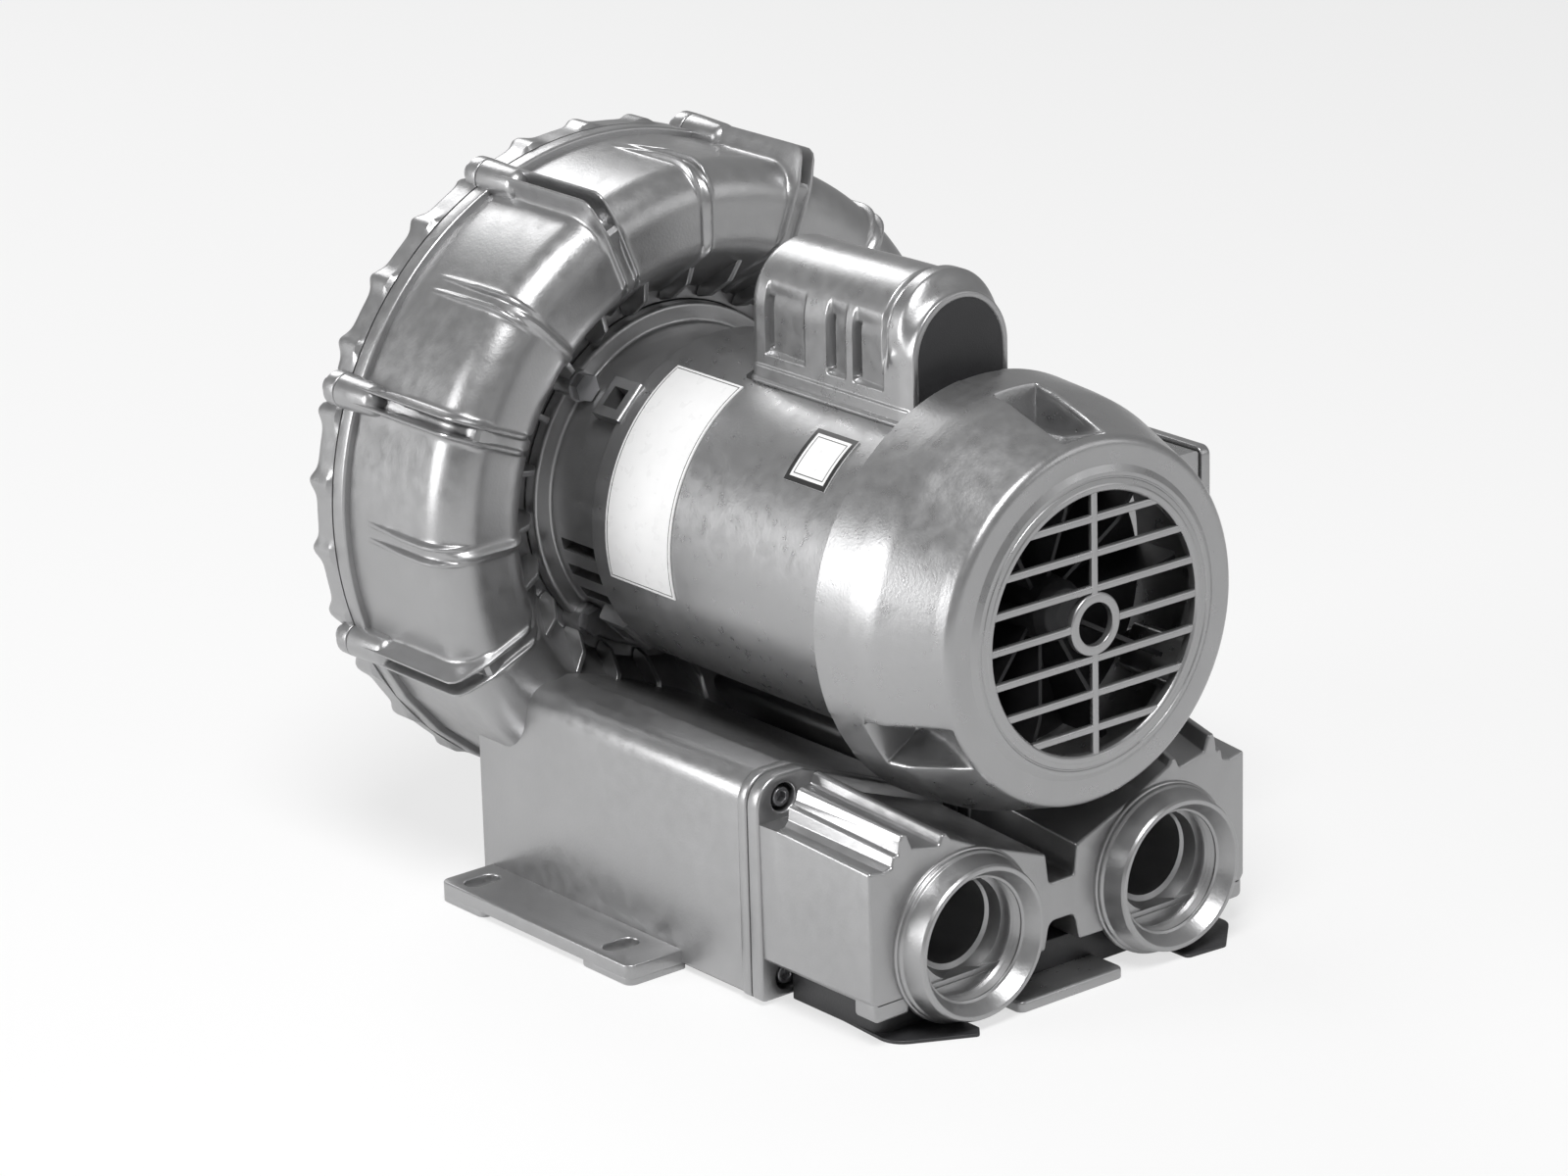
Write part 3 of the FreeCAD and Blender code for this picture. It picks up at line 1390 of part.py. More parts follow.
def capacitor_fittings():
    plug = new_body("capacitor_end_plug")
    low = d.frame_radius + d.gasket_thick
    pad(plug, outline(sketch_on(plug, "XZ_Plane", d.nose_front - 2),
                      dome_section(d.nose_half - 2.6, d.nose_top - 2.6, low - 8)), 1.6)
    trim = outline(sketch_on(plug, "YZ_Plane"), [
        (-d.nose_front - 5, 0), (-d.nose_front + 8, 0), (-d.nose_front + 8, low),
        (-d.nose_front - 5, low),
    ])
    grooved(plug, trim)
    gasket = new_body("capacitor_gasket")
    slab = rectangle(sketch_on(gasket, "XZ_Plane", d.dome_rear - 2), -d.dome_half - 1, 60,
                     d.dome_half + 1, d.frame_radius + 3)
    pad(gasket, slab, d.nose_front - d.dome_rear + 2)
    under = outline(sketch_on(gasket, "YZ_Plane"), [
        (-d.nose_front - 5, 0), (-d.dome_rear + 5, 0), (-d.dome_rear + 5, d.frame_radius),
        (-d.nose_front - 5, d.frame_radius),
    ])
    grooved(gasket, under)
    over = outline(sketch_on(gasket, "YZ_Plane"), [
        (-d.nose_front - 5, low), (-d.dome_rear + 5, low), (-d.dome_rear + 5, low + 60),
        (-d.nose_front - 5, low + 60),
    ])
    grooved(gasket, over)
    middle = rectangle(sketch_on(gasket, "XY_Plane", 0), -d.dome_half + 4, -d.dome_front + 4,
                       d.dome_half - 4, -d.dome_rear - 5)
    cut(gasket, middle, 100, back=True)
    can_height = d.frame_radius + d.capacitor_radius + 8
    start = d.dome_front - 6
    can = new_body("capacitor")
    pad(can, circles(sketch_on(can, "XZ_Plane", start), [(0, can_height)], d.capacitor_radius),
        d.capacitor_length, back=True)
    pad(can, circles(sketch_on(can, "XZ_Plane", start - d.capacitor_length),
                     [(-8, can_height), (8, can_height)], 2.5), 5, back=True)
    clip = new_body("capacitor_clip")
    clip_at = start - 30
    band = circles(sketch_on(clip, "XZ_Plane", clip_at), [(0, can_height)], d.capacitor_radius + 1.2)
    pad(clip, band, 14, back=True)
    feet_of_clip = rectangle(sketch_on(clip, "XZ_Plane", clip_at), -12, d.frame_radius - 4,
                             12, can_height - d.capacitor_radius + 2)
    pad(clip, feet_of_clip, 14, back=True)
    hole = circles(sketch_on(clip, "XZ_Plane", clip_at), [(0, can_height)], d.capacitor_radius)
    cut(clip, hole, 15)
    seat = outline(sketch_on(clip, "YZ_Plane"), [
        (-clip_at - 5, 0), (-clip_at + 25, 0), (-clip_at + 25, d.frame_radius),
        (-clip_at - 5, d.frame_radius),
    ])
    grooved(clip, seat)


# Terminal box on the right of the motor


def terminal_box():
    body = new_body("terminal_box")
    inner = d.frame_radius - 10
    wall = d.box_wall
    shell = rectangle(sketch_on(body, "XZ_Plane", d.box_rear), inner, -d.box_low,
                      d.box_side, d.box_high, 2)
    pad(body, shell, d.box_front - d.box_rear)
    room = rectangle(sketch_on(body, "XZ_Plane", d.box_rear + wall), inner + 20, -d.box_low + wall,
                     d.box_side + 1, d.box_high - wall)
    cut(body, room, d.box_front - d.box_rear - wall * 2, back=True)
    leads = circles(sketch_on(body, "YZ_Plane", 0), [(box_middle, 0)], d.lead_hole)
    cut(body, leads, d.box_side - 5, back=True)
    saddle = outline(sketch_on(body, "YZ_Plane"), [
        (-d.box_front - 5, 0), (-d.box_rear + 5, 0), (-d.box_rear + 5, d.frame_radius),
        (-d.box_front - 5, d.frame_radius),
    ])
    grooved(body, saddle)
    posts = [
        (y, z) for y in (-d.box_front + wall + 4, -d.box_rear - wall - 4)
        for z in (-d.box_low + wall + 4, d.box_high - wall - 4)
    ]
    pad(body, circles(sketch_on(body, "YZ_Plane", d.box_side), posts, 4.6), 46, back=True)
    cut(body, circles(sketch_on(body, "YZ_Plane", d.box_side), posts, d.lid_screw + d.fastener_gap), 16)
    # entry for the supply cable, through the front wall
    entry = circles(sketch_on(body, "XZ_Plane", d.box_front), [(d.box_side - d.entry_inset, -2)],
                    d.entry_radius)
    cut(body, entry, wall + 1)
    lid = new_body("terminal_lid")
    cap = rectangle(sketch_on(lid, "XZ_Plane", d.box_rear - 1.5), d.box_side + 1, -d.box_low - 1.5,
                    d.box_side + d.lid_thick, d.box_high + 1.5, 1.8)
    pad(lid, cap, d.box_front - d.box_rear + 3)
    cut(lid, circles(sketch_on(lid, "YZ_Plane", d.box_side), posts, d.lid_screw + d.fastener_gap), 12,
        back=True)
    gasket = new_body("terminal_gasket")
    pad(gasket, rectangle(sketch_on(gasket, "YZ_Plane", d.box_side), -d.box_front, -d.box_low,
                          -d.box_rear, d.box_high), 1)
    cut(gasket, rectangle(sketch_on(gasket, "YZ_Plane", d.box_side + 1), -d.box_front + 9,
                          -d.box_low + 9, -d.box_rear - 9, d.box_high - 9), 3)
    cut(gasket, circles(sketch_on(gasket, "YZ_Plane", d.box_side + 1), posts,
                        d.lid_screw + d.fastener_gap), 3)
    screws = new_body("terminal_screws")
    seat = d.box_side + d.lid_thick
    pad(screws, circles(sketch_on(screws, "YZ_Plane", seat), posts, d.lid_screw), d.lid_thick + 12,
        back=True)
    pad(screws, circles(sketch_on(screws, "YZ_Plane", seat), posts, d.lid_screw * 2), 2.6)
    block = new_body("terminal_block")
    base = d.frame_radius + 10
    pad(block, rectangle(sketch_on(block, "YZ_Plane", base), -d.box_front + 22, -10,
                         -d.box_front + 34, 18), 10)
    studs = [(-d.box_front + 28, -5), (-d.box_front + 28, 4), (-d.box_front + 28, 13)]
    pad(block, circles(sketch_on(block, "YZ_Plane", base + 9), studs, 2), 9)


# Plates on the frame


def frame_plate(name, front, rear, turn, arc):
    body = new_body(name)
    low = d.frame_radius + d.plate_glue
    strip = outline(sketch_on(body, "YZ_Plane", 0, turn), [
        (-front, low), (rear, low), (rear, low + d.plate_thick), (-front, low + d.plate_thick),
    ])
    turned(body, strip, arc)


# The parts are made from the outside in, then checked and written


def build():
    front_housing()
    rear_cover()
    casing_seal()
    axial_screws("casing_screws", [(0, d.casing_bolt_circle)], d.joint_plane + d.cover_thick, True,
                 d.casing_screw, d.casing_screw_length, casing_turns, 8)
    silencer("inlet", -1)
    silencer("outlet", 1)
    port_manifold()
    manifold_gasket()
    axial_screws("manifold_screws", mirrored_places(tunnel_screws), -flange_front, False,
                 d.tunnel_screw, d.manifold_flange + d.gasket_thick + 18)
    base_cover()
    front_tray()
    drive_end_bell()
    flange_screws()
    through_bolts()
    shaft_seal()
    bearing("drive", d.drive_bearing_front, d.drive_bearing_width, d.drive_bearing_radius,
            d.shaft_drive, as_size(3.9), 9)
    bearing("tail", -d.tail_bearing_front, d.tail_bearing_width, d.tail_bearing_radius,
            d.shaft_tail, as_size(3.3), 8)
    motor_frame()
    stator_core()
    stator_windings()
    tail_end_bell()
    wave_spring()
    motor_shaft()
    rotor_core()
    impeller()
    impeller_fixings()
    cooling_fan()
    fan_cover()
    fan_cover_screws()
    capacitor_cover()
    capacitor_fittings()
    terminal_box()
    frame_plate("nameplate", d.nameplate_front, d.nameplate_rear, d.nameplate_turn.value,
                d.nameplate_arc)
    frame_plate("badge_plate", d.badge_front, -d.badge_rear, d.badge_turn.value, d.badge_arc)


build()
doc.recompute()

faults = [part.Label for part in doc.Objects if {"Invalid", "Error"} & set(part.State)]
for part in nodes:
    if part.Shape.isNull() or not part.Shape.isValid():
        faults.append(part.Label)
if faults:
    raise RuntimeError("These objects failed: " + ", ".join(faults))

os.makedirs("parts", exist_ok=True)
for part in nodes:
    part.Shape.exportStep(f"parts/{part.Label}.step")
    print(part.Label, len(part.Shape.Solids), round(part.Shape.Volume / 1000, 2), "cm3")
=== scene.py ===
import json
import math
import bpy
import bmesh
import numpy as np
from mathutils import Matrix, Vector
from mathutils.geometry import delaunay_2d_cdt


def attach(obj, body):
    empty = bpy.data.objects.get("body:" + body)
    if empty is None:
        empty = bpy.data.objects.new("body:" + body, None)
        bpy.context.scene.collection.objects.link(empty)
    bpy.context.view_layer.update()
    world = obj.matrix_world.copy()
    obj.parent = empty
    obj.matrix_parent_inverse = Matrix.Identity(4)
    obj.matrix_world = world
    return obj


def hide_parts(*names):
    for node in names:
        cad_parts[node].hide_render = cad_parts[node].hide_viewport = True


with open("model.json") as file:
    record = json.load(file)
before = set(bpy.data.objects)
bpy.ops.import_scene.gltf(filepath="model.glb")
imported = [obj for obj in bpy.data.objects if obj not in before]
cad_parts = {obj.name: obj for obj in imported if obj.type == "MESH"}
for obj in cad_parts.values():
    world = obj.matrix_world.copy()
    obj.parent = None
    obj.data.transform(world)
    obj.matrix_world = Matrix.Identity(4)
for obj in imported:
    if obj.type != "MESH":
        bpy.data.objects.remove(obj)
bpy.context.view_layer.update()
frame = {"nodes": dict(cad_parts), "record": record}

mm = 0.001
axisHeight = 190.5    # the motor axis above the base plane, in mm
print("stage: frame loaded,", len(frame["nodes"]), "nodes")

# Camera at the photograph's place

cameraPlace = {
    "location": (-1672.7, -2088.4, 1059.6),    # mm
    "right": (0.77238, -0.63468, -0.02511),
    "up": (0.22345, 0.23450, 0.94612),
    "back": (-0.59459, -0.73635, 0.32293),
    "lens": 129.12,
}


def makeCamera(place):
    data = bpy.data.cameras.new("camera")
    data.lens, data.sensor_width = place["lens"], 36
    data.clip_end = 50
    camera = bpy.data.objects.new("camera", data)
    bpy.context.scene.collection.objects.link(camera)
    turn = Matrix((place["right"], place["up"], place["back"])).transposed().to_4x4()
    camera.matrix_world = Matrix.Translation(Vector(place["location"]) * mm) @ turn
    bpy.context.scene.camera = camera


makeCamera(cameraPlace)

# Node tools


class NodeWriter:
    # adds nodes to a tree and joins them with short calls

    def __init__(self, tree):
        self.tree = tree

    def give(self, socket, value):
        # joins another node's output to the socket, or sets its value
        if isinstance(value, bpy.types.NodeSocket):
            self.tree.links.new(value, socket)
        else:
            socket.default_value = value

    def add(self, kind, **inputs):
        node = self.tree.nodes.new("ShaderNode" + kind)
        for word, value in inputs.items():
            if hasattr(node, word):
                setattr(node, word, value)
            else:
                self.give(node.inputs[word], value)
        return node

    def math(self, operation, first, second=0.5):
        node = self.tree.nodes.new("ShaderNodeMath")
        node.operation = operation
        for socket, value in zip(node.inputs, (first, second)):
            self.give(socket, value)
        return node.outputs[0]

    def spread(self, value, low, high, toLow=0.0, toHigh=1.0):
        # maps low to high onto toLow to toHigh
        node = self.add("MapRange", Value=value)
        for name, number in zip(("From Min", "From Max", "To Min", "To Max"), (low, high, toLow, toHigh)):
            node.inputs[name].default_value = number
        return node.outputs[0]

    def mix(self, share, first, second):
        node = self.tree.nodes.new("ShaderNodeMix")
        node.data_type = "RGBA"
        for place, value in ((0, share), (6, first), (7, second)):
            self.give(node.inputs[place], value)
        return node.outputs[2]

    def link(self, output, socket):
        self.tree.links.new(output, socket)


def makeGroup(name, inputs, outputs):
    tree = bpy.data.node_groups.new(name, "ShaderNodeTree")
    for word, kind, value in inputs:
        socket = tree.interface.new_socket(word, in_out="INPUT", socket_type="NodeSocket" + kind)
        socket.default_value = value
    for word, kind in outputs:
        tree.interface.new_socket(word, in_out="OUTPUT", socket_type="NodeSocket" + kind)
    writer = NodeWriter(tree)
    return tree, writer, tree.nodes.new("NodeGroupInput"), tree.nodes.new("NodeGroupOutput")


skinPattern = {"cloud": 22.0, "streak": 140.0, "pits": 900.0, "pitShare": 0.08}    # scales per metre, and a share


def makeCastSkin(c):
    # painted casting: cloudy tone, fine orange peel and faint pits
    tree, w, start, end = makeGroup(
        "castSkin",
        [("Color", "Color", (0.5, 0.5, 0.5, 1)), ("Roughness", "Float", 0.4), ("Cloud", "Float", 0.1),
         ("Grain", "Float", 700.0), ("Relief", "Float", 0.3)],
        [("Color", "Color"), ("Roughness", "Float"), ("Height", "Float")],
    )
    place = w.add("TexCoord").outputs["Object"]
    cloud = w.add("TexNoise", Vector=place, Scale=c["cloud"], Detail=4.0).outputs["Fac"]
    streak = w.add("TexNoise", Vector=place, Scale=c["streak"], Detail=3.0).outputs["Fac"]
    grain = w.add("TexNoise", Vector=place, Detail=2.0)
    w.link(start.outputs["Grain"], grain.inputs["Scale"])
    tone = w.math("ADD", w.spread(cloud, 0.3, 0.7, -0.5, 0.5), w.spread(streak, 0.3, 0.7, -0.25, 0.25))
    shift = w.math("ADD", w.math("MULTIPLY", tone, start.outputs["Cloud"]), 1.0)
    bright = w.add("VectorMath", operation="SCALE")
    w.link(start.outputs["Color"], bright.inputs[0])
    w.link(shift, bright.inputs["Scale"])
    w.link(bright.outputs[0], end.inputs["Color"])
    rough = w.math("ADD", start.outputs["Roughness"], w.spread(streak, 0.3, 0.7, -0.05, 0.06))
    w.link(rough, end.inputs["Roughness"])
    pits = w.spread(w.add("TexVoronoi", Vector=place, Scale=c["pits"]).outputs["Distance"], 0.0, 0.5)
    height = w.math("ADD", grain.outputs["Fac"], w.math("MULTIPLY", pits, c["pitShare"]))
    w.link(w.math("MULTIPLY", height, start.outputs["Relief"]), end.inputs["Height"])
    return tree


castSkin = makeCastSkin(skinPattern)

# One line per finish: colour, metallic, roughness, cloud, grain scale, relief, coat
finishes = {
    "cast_paint": ((0.38, 0.38, 0.384), 0.85, 0.34, 0.08, 700, 0.3, 0.15),
    "sheet_paint": ((0.38, 0.38, 0.384), 0.85, 0.31, 0.05, 700, 0.22, 0.15),
    "steel": ((0.62, 0.62, 0.63), 1.0, 0.28, 0.08, 1500, 0.15, 0.0),
    "fasteners": ((0.34, 0.34, 0.35), 0.9, 0.36, 0.12, 1200, 0.2, 0.0),
    "laminations": ((0.24, 0.24, 0.25), 0.8, 0.5, 0.2, 1500, 0.4, 0.0),
    "winding": ((0.52, 0.23, 0.1), 0.55, 0.38, 0.2, 1500, 0.6, 0.3),
    "bare_aluminium": ((0.66, 0.66, 0.67), 1.0, 0.36, 0.1, 1100, 0.3, 0.0),
    "black_plastic": ((0.028, 0.028, 0.03), 0.0, 0.5, 0.2, 1300, 0.3, 0.0),
    "black_paint": ((0.03, 0.03, 0.032), 0.0, 0.45, 0.25, 900, 0.4, 0.1),
    "gasket_rubber": ((0.022, 0.022, 0.022), 0.0, 0.72, 0.3, 1100, 0.5, 0.0),
    "foam": ((0.12, 0.12, 0.115), 0.0, 0.95, 0.35, 500, 1.6, 0.0),
    "plate": ((0.8, 0.8, 0.8), 0.0, 0.3, 0.05, 500, 0.04, 0.35),
}
bumpReach = 0.00025    # metres that a height of 1 stands out
plateRadius = 86       # the plates lie round the motor


def makeFinish(name, color, metallic, roughness, cloud, grain, relief, coat):
    material = bpy.data.materials.new(name)
    material.use_nodes = True
    w = NodeWriter(material.node_tree)
    skin = material.node_tree.nodes.new("ShaderNodeGroup")
    skin.node_tree = castSkin
    for word, value in (("Color", (*color, 1)), ("Roughness", roughness), ("Cloud", cloud), ("Grain", grain),
                        ("Relief", relief)):
        skin.inputs[word].default_value = value
    bump = w.add("Bump", Distance=bumpReach, Height=skin.outputs["Height"])
    shader = material.node_tree.nodes["Principled BSDF"]
    for word, value in (("Metallic", metallic), ("Coat Weight", coat), ("Coat Roughness", 0.25),
                        ("Base Color", skin.outputs["Color"]), ("Roughness", skin.outputs["Roughness"]),
                        ("Normal", bump.outputs["Normal"])):
        w.give(shader.inputs[word], value)
    return material


materials = {name: makeFinish(name, *values) for name, values in finishes.items()}
slotOf = {entry["node"]: entry["material_slot"] for entry in frame["record"]["subparts"]}
for name, node in frame["nodes"].items():
    node.data.materials.clear()
    node.data.materials.append(materials[slotOf[name]])


def addBorder(node, low, high, turn, arc, lines):
    # a plate on the motor: lines at fixed distances from its edge, measured along the motor and round it
    material = materials["plate"].copy()
    material.name = node + "Face"
    tree = material.node_tree
    w = NodeWriter(tree)
    place = w.add("SeparateXYZ", Vector=w.add("TexCoord").outputs["Object"])
    along = place.outputs["Y"]
    around = w.math("ARCTAN2", place.outputs["X"], w.math("SUBTRACT", place.outputs["Z"], axisHeight * mm))
    around = w.math("ABSOLUTE", w.math("SUBTRACT", around, math.radians(turn)))
    around = w.math("MULTIPLY", around, plateRadius * mm)
    side = w.math("SUBTRACT", math.radians(arc / 2) * plateRadius * mm, around)
    end = w.math("MINIMUM", w.math("SUBTRACT", along, low * mm), w.math("SUBTRACT", high * mm, along))
    near = w.math("MINIMUM", side, end)
    mask = 0.0
    for start, stop in lines:
        band = w.math("MULTIPLY", w.math("GREATER_THAN", near, start * mm), w.math("LESS_THAN", near, stop * mm))
        mask = w.math("MAXIMUM", band, mask)
    shader = tree.nodes["Principled BSDF"]
    color = shader.inputs["Base Color"].links[0].from_socket
    w.link(w.mix(mask, color, (0.02, 0.02, 0.02, 1)), shader.inputs["Base Color"])
    frame["nodes"][node].data.materials[0] = material


addBorder("nameplate", -36.5, 14.5, -65, 78, ((1.2, 1.7),))
addBorder("badge_plate", -133.5, -103.5, -42, 20, ((0, 2.6), (4.2, 4.7)))
print("stage: finishes ready")

# Mesh tools, all in millimetres


def gridFaces(rows, columns, wrapRows=False, wrapColumns=False):
    # quads between neighbouring rows and columns of a grid of points
    r, c = np.meshgrid(np.arange(rows if wrapRows else rows - 1),
                       np.arange(columns if wrapColumns else columns - 1), indexing="ij")
    nextR, nextC = (r + 1) % rows, (c + 1) % columns
    corners = [r * columns + c, r * columns + nextC, nextR * columns + nextC, nextR * columns + c]
    return np.stack(corners, -1).reshape(-1, 4).tolist()


mergeReach, thinEdge = 0.00001, 0.000005    # metres: points to merge and edges to drop


class Shell:
    # collects points and faces of one piece before they become a mesh

    def __init__(self):
        self.points, self.faces, self.count = [], [], 0

    def put(self, points, faces):
        points = np.asarray(points, float).reshape(-1, 3)
        self.faces += [[corner + self.count for corner in face] for face in faces]
        self.points.append(points)
        self.count += len(points)

    def grid(self, points, wrapRows=False, wrapColumns=False):
        rows, columns = points.shape[:2]
        self.put(points, gridFaces(rows, columns, wrapRows, wrapColumns))

    def mirrored(self):
        # adds the same shape on the other side, at -X
        points = np.concatenate(self.points) * (-1, 1, 1)
        self.faces += [[corner + self.count for corner in reversed(face)] for face in self.faces]
        self.points.append(points)
        self.count *= 2


def makePiece(name, shell, slot, body="blower", smoothAngle=35, replaces=()):
    mesh = bpy.data.meshes.new(name)
    mesh.from_pydata((np.concatenate(shell.points) * mm).tolist(), [], shell.faces)
    built = bmesh.new()
    built.from_mesh(mesh)
    bmesh.ops.remove_doubles(built, verts=built.verts, dist=mergeReach)
    bmesh.ops.dissolve_degenerate(built, edges=built.edges, dist=thinEdge)
    bmesh.ops.recalc_face_normals(built, faces=built.faces)
    built.to_mesh(mesh)
    built.free()
    mesh.shade_smooth()
    mesh.set_sharp_from_angle(angle=math.radians(smoothAngle))
    piece = bpy.data.objects.new(name, mesh)
    bpy.context.scene.collection.objects.link(piece)
    mesh.materials.append(materials[slot])
    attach(piece, body)
    if replaces:
        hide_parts(*replaces)
    return piece


def roundedLine(corners, steps=5, closed=True):
    # corners (u, v, radius) joined by straight runs, with an arc of steps parts at each rounded corner
    line = []
    count = len(corners)
    for place, corner in enumerate(corners):
        point = np.array(corner[:2], float)
        radius = corner[2] if len(corner) > 2 else 0
        if radius <= 0 or (not closed and place in (0, count - 1)):
            line.append(point)
            continue
        back = np.array(corners[place - 1][:2], float) - point
        ahead = np.array(corners[(place + 1) % count][:2], float) - point
        backLong, aheadLong = np.hypot(*back), np.hypot(*ahead)
        back, ahead = back / backLong, ahead / aheadLong
        half = math.acos(max(-1, min(1, float(back @ ahead)))) / 2
        reach = min(radius / math.tan(half), backLong * 0.49, aheadLong * 0.49)
        radius = reach * math.tan(half)
        middle = (back + ahead) / np.hypot(*(back + ahead))
        centre = point + middle * math.hypot(radius, reach)
        start, end = point + back * reach - centre, point + ahead * reach - centre
        low = math.atan2(start[1], start[0])
        turn = (math.atan2(end[1], end[0]) - low + math.pi) % (2 * math.pi) - math.pi
        angles = low + turn * np.linspace(0, 1, steps + 1)
        line += list(centre + radius * np.stack([np.cos(angles), np.sin(angles)], -1))
    return np.array(line)


def boxLine(left, right, low, high, radii, steps=5):
    # a rounded box with one radius, or one for each corner
    radii = np.broadcast_to(radii, 4)
    return roundedLine(list(zip((left, right, right, left), (low, low, high, high), radii)), steps)


def bothSides(line, sign=1):
    # a line from the middle outwards goes on from its mirror image
    return np.concatenate([sign * line[:0:-1], line])


def resampled(line, count):
    # the same line with count points at equal steps along it
    along = np.concatenate([[0], np.cumsum(np.hypot(*np.diff(line, axis=0).T))])
    steps = np.linspace(0, along[-1], count)
    return np.stack([np.interp(steps, along, line[:, 0]), np.interp(steps, along, line[:, 1])], -1)


def outwards(line):
    # unit normals of a closed line that point away from its inside
    ahead = np.roll(line, -1, 0) - line
    back = line - np.roll(line, 1, 0)
    tangent = ahead / np.maximum(np.hypot(*ahead.T), 1e-9)[:, None] + back / np.maximum(
        np.hypot(*back.T), 1e-9)[:, None]
    tangent /= np.maximum(np.hypot(*tangent.T), 1e-9)[:, None]
    area = np.sum(line[:, 0] * np.roll(line[:, 1], -1) - line[:, 1] * np.roll(line[:, 0], -1))
    normal = np.stack([tangent[:, 1], -tangent[:, 0]], -1)
    return normal if area > 0 else -normal


def grown(line, reach):
    return line + outwards(line) * reach


def inside(points, line):
    # which points lie inside a closed line: the number of sides passed on one hand is odd
    u, v = points[:, None, 0], points[:, None, 1]
    u1, v1 = line[None, :, 0], line[None, :, 1]
    u2, v2 = np.roll(line, -1, 0)[None, :, 0], np.roll(line, -1, 0)[None, :, 1]
    crossing = (v1 > v) != (v2 > v)
    reach = (u2 - u1) * (v - v1) / np.where(v2 == v1, 1e-12, v2 - v1) + u1
    return (np.sum(crossing & (u < reach), axis=1) % 2) == 1


def atLevel(line, level):
    # a flat line becomes one in space, at a height
    return np.column_stack([line, np.full(len(line), level)])


def cap(shell, loops, height, place):
    # flat faces between an outline and its holes
    sides, start = [], 0
    for loop in loops:
        count = len(loop)
        sides += [(start + k, start + (k + 1) % count) for k in range(count)]
        start += count
    found = delaunay_2d_cdt([Vector(p) for p in np.concatenate(loops)], sides, [], 0, 1e-6)
    corners = np.array([tuple(p) for p in found[0]])
    triangles = np.array(found[2])
    centres = corners[triangles].mean(1)
    keep = inside(centres, loops[0])
    for loop in loops[1:]:
        keep &= ~inside(centres, loop)
    shell.put(place(atLevel(corners, height)), triangles[keep].tolist())


def plate(shell, line, low, high, place, edge=0.8, holes=(), steps=3, lowEdge=None):
    # a slab between two heights with rounded edges: rings step in by 1 - sin and up by 1 - cos of one angle
    lowEdge = edge if lowEdge is None else lowEdge
    angles = np.linspace(0, math.pi / 2, steps + 1)
    levels = [(lowEdge * (1 - math.sin(a)), low + lowEdge * (1 - math.cos(a))) for a in angles]
    levels += [(edge * (1 - math.cos(a)), high - edge * (1 - math.sin(a))) for a in angles]
    loops = []
    for outline, sign in [(line, -1)] + [(hole, 1) for hole in holes]:
        normal = outwards(outline) * sign
        loops.append(np.array([atLevel(outline + normal * inset, level) for inset, level in levels]))
        shell.grid(place(loops[-1]), wrapColumns=True)
    for which in (0, -1):
        cap(shell, [rings[which][:, :2] for rings in loops], loops[0][which][0, 2], place)


def smooth(value, low, high):
    # 0 below low, 1 above high, and an S between them
    share = np.clip((value - low) / (high - low), 0, 1)
    return share * share * (3 - 2 * share)


def alongY(p):
    # outline in X and Z, thickness along Y
    return np.stack([p[..., 0], p[..., 2], p[..., 1]], -1)


def alongZ(p):
    return p


def alongX(p):
    # outline in Y and Z, thickness along X
    return np.stack([p[..., 2], p[..., 0], p[..., 1]], -1)


def roundAngles(count):
    return np.linspace(0, 2 * math.pi, count, endpoint=False)


def turned(radius, angle, y):
    # points at a radius and an angle round the motor axis
    return np.stack([radius * np.sin(angle), y, axisHeight + radius * np.cos(angle)], -1)


def ringAt(line, x=0.0, z=axisHeight, count=96, angles=None):
    # a line of (y, radius) turned about an axis along Y
    angles = roundAngles(count) if angles is None else angles
    y, r = line[:, 0][:, None], line[:, 1][:, None]
    return np.stack([x + r * np.sin(angles), y + 0 * angles, z + r * np.cos(angles)], -1)


def ribbedRing(base, features, gapColumns):
    # A ring whose skin moves from the base line towards a feature's own line by a weight between 0 and 1.
    # Within a feature a column keeps its sideways distance from the feature's middle, so walls stay parallel.
    # features: (turn in degrees, sideways distances, weights, rows of (y, radius))
    features = sorted(features, key=lambda feature: feature[0])
    blocks = []
    for turn, across, weights, target in features:
        y = base[:, :1] + (target[:, :1] - base[:, :1]) * weights
        r = base[:, 1:] + (target[:, 1:] - base[:, 1:]) * weights
        angle = math.radians(turn) + np.arcsin(across / r)
        blocks.append((y, r, angle))
    columns = []
    for place, (y, r, angle) in enumerate(blocks):
        columns.append(np.stack([y, r, angle], -1))
        nextAngle = blocks[(place + 1) % len(blocks)][2][:, 0]
        if place == len(blocks) - 1:
            nextAngle = nextAngle + 2 * math.pi
        share = np.linspace(0, 1, gapColumns + 2)[1:-1]
        between = angle[:, -1:] + (nextAngle[:, None] - angle[:, -1:]) * share
        columns.append(np.stack([base[:, :1] + 0 * between, base[:, 1:] + 0 * between, between], -1))
    skin = np.concatenate(columns, 1)
    return turned(skin[..., 1], skin[..., 2], skin[..., 0])


def runs(*parts):
    # joins lines that were resampled one by one, so that the rows of two skins match
    lines = [resampled(np.array(line, float), count) for line, count in parts]
    return np.concatenate([lines[0]] + [line[1:] for line in lines[1:]])


# Blower casing

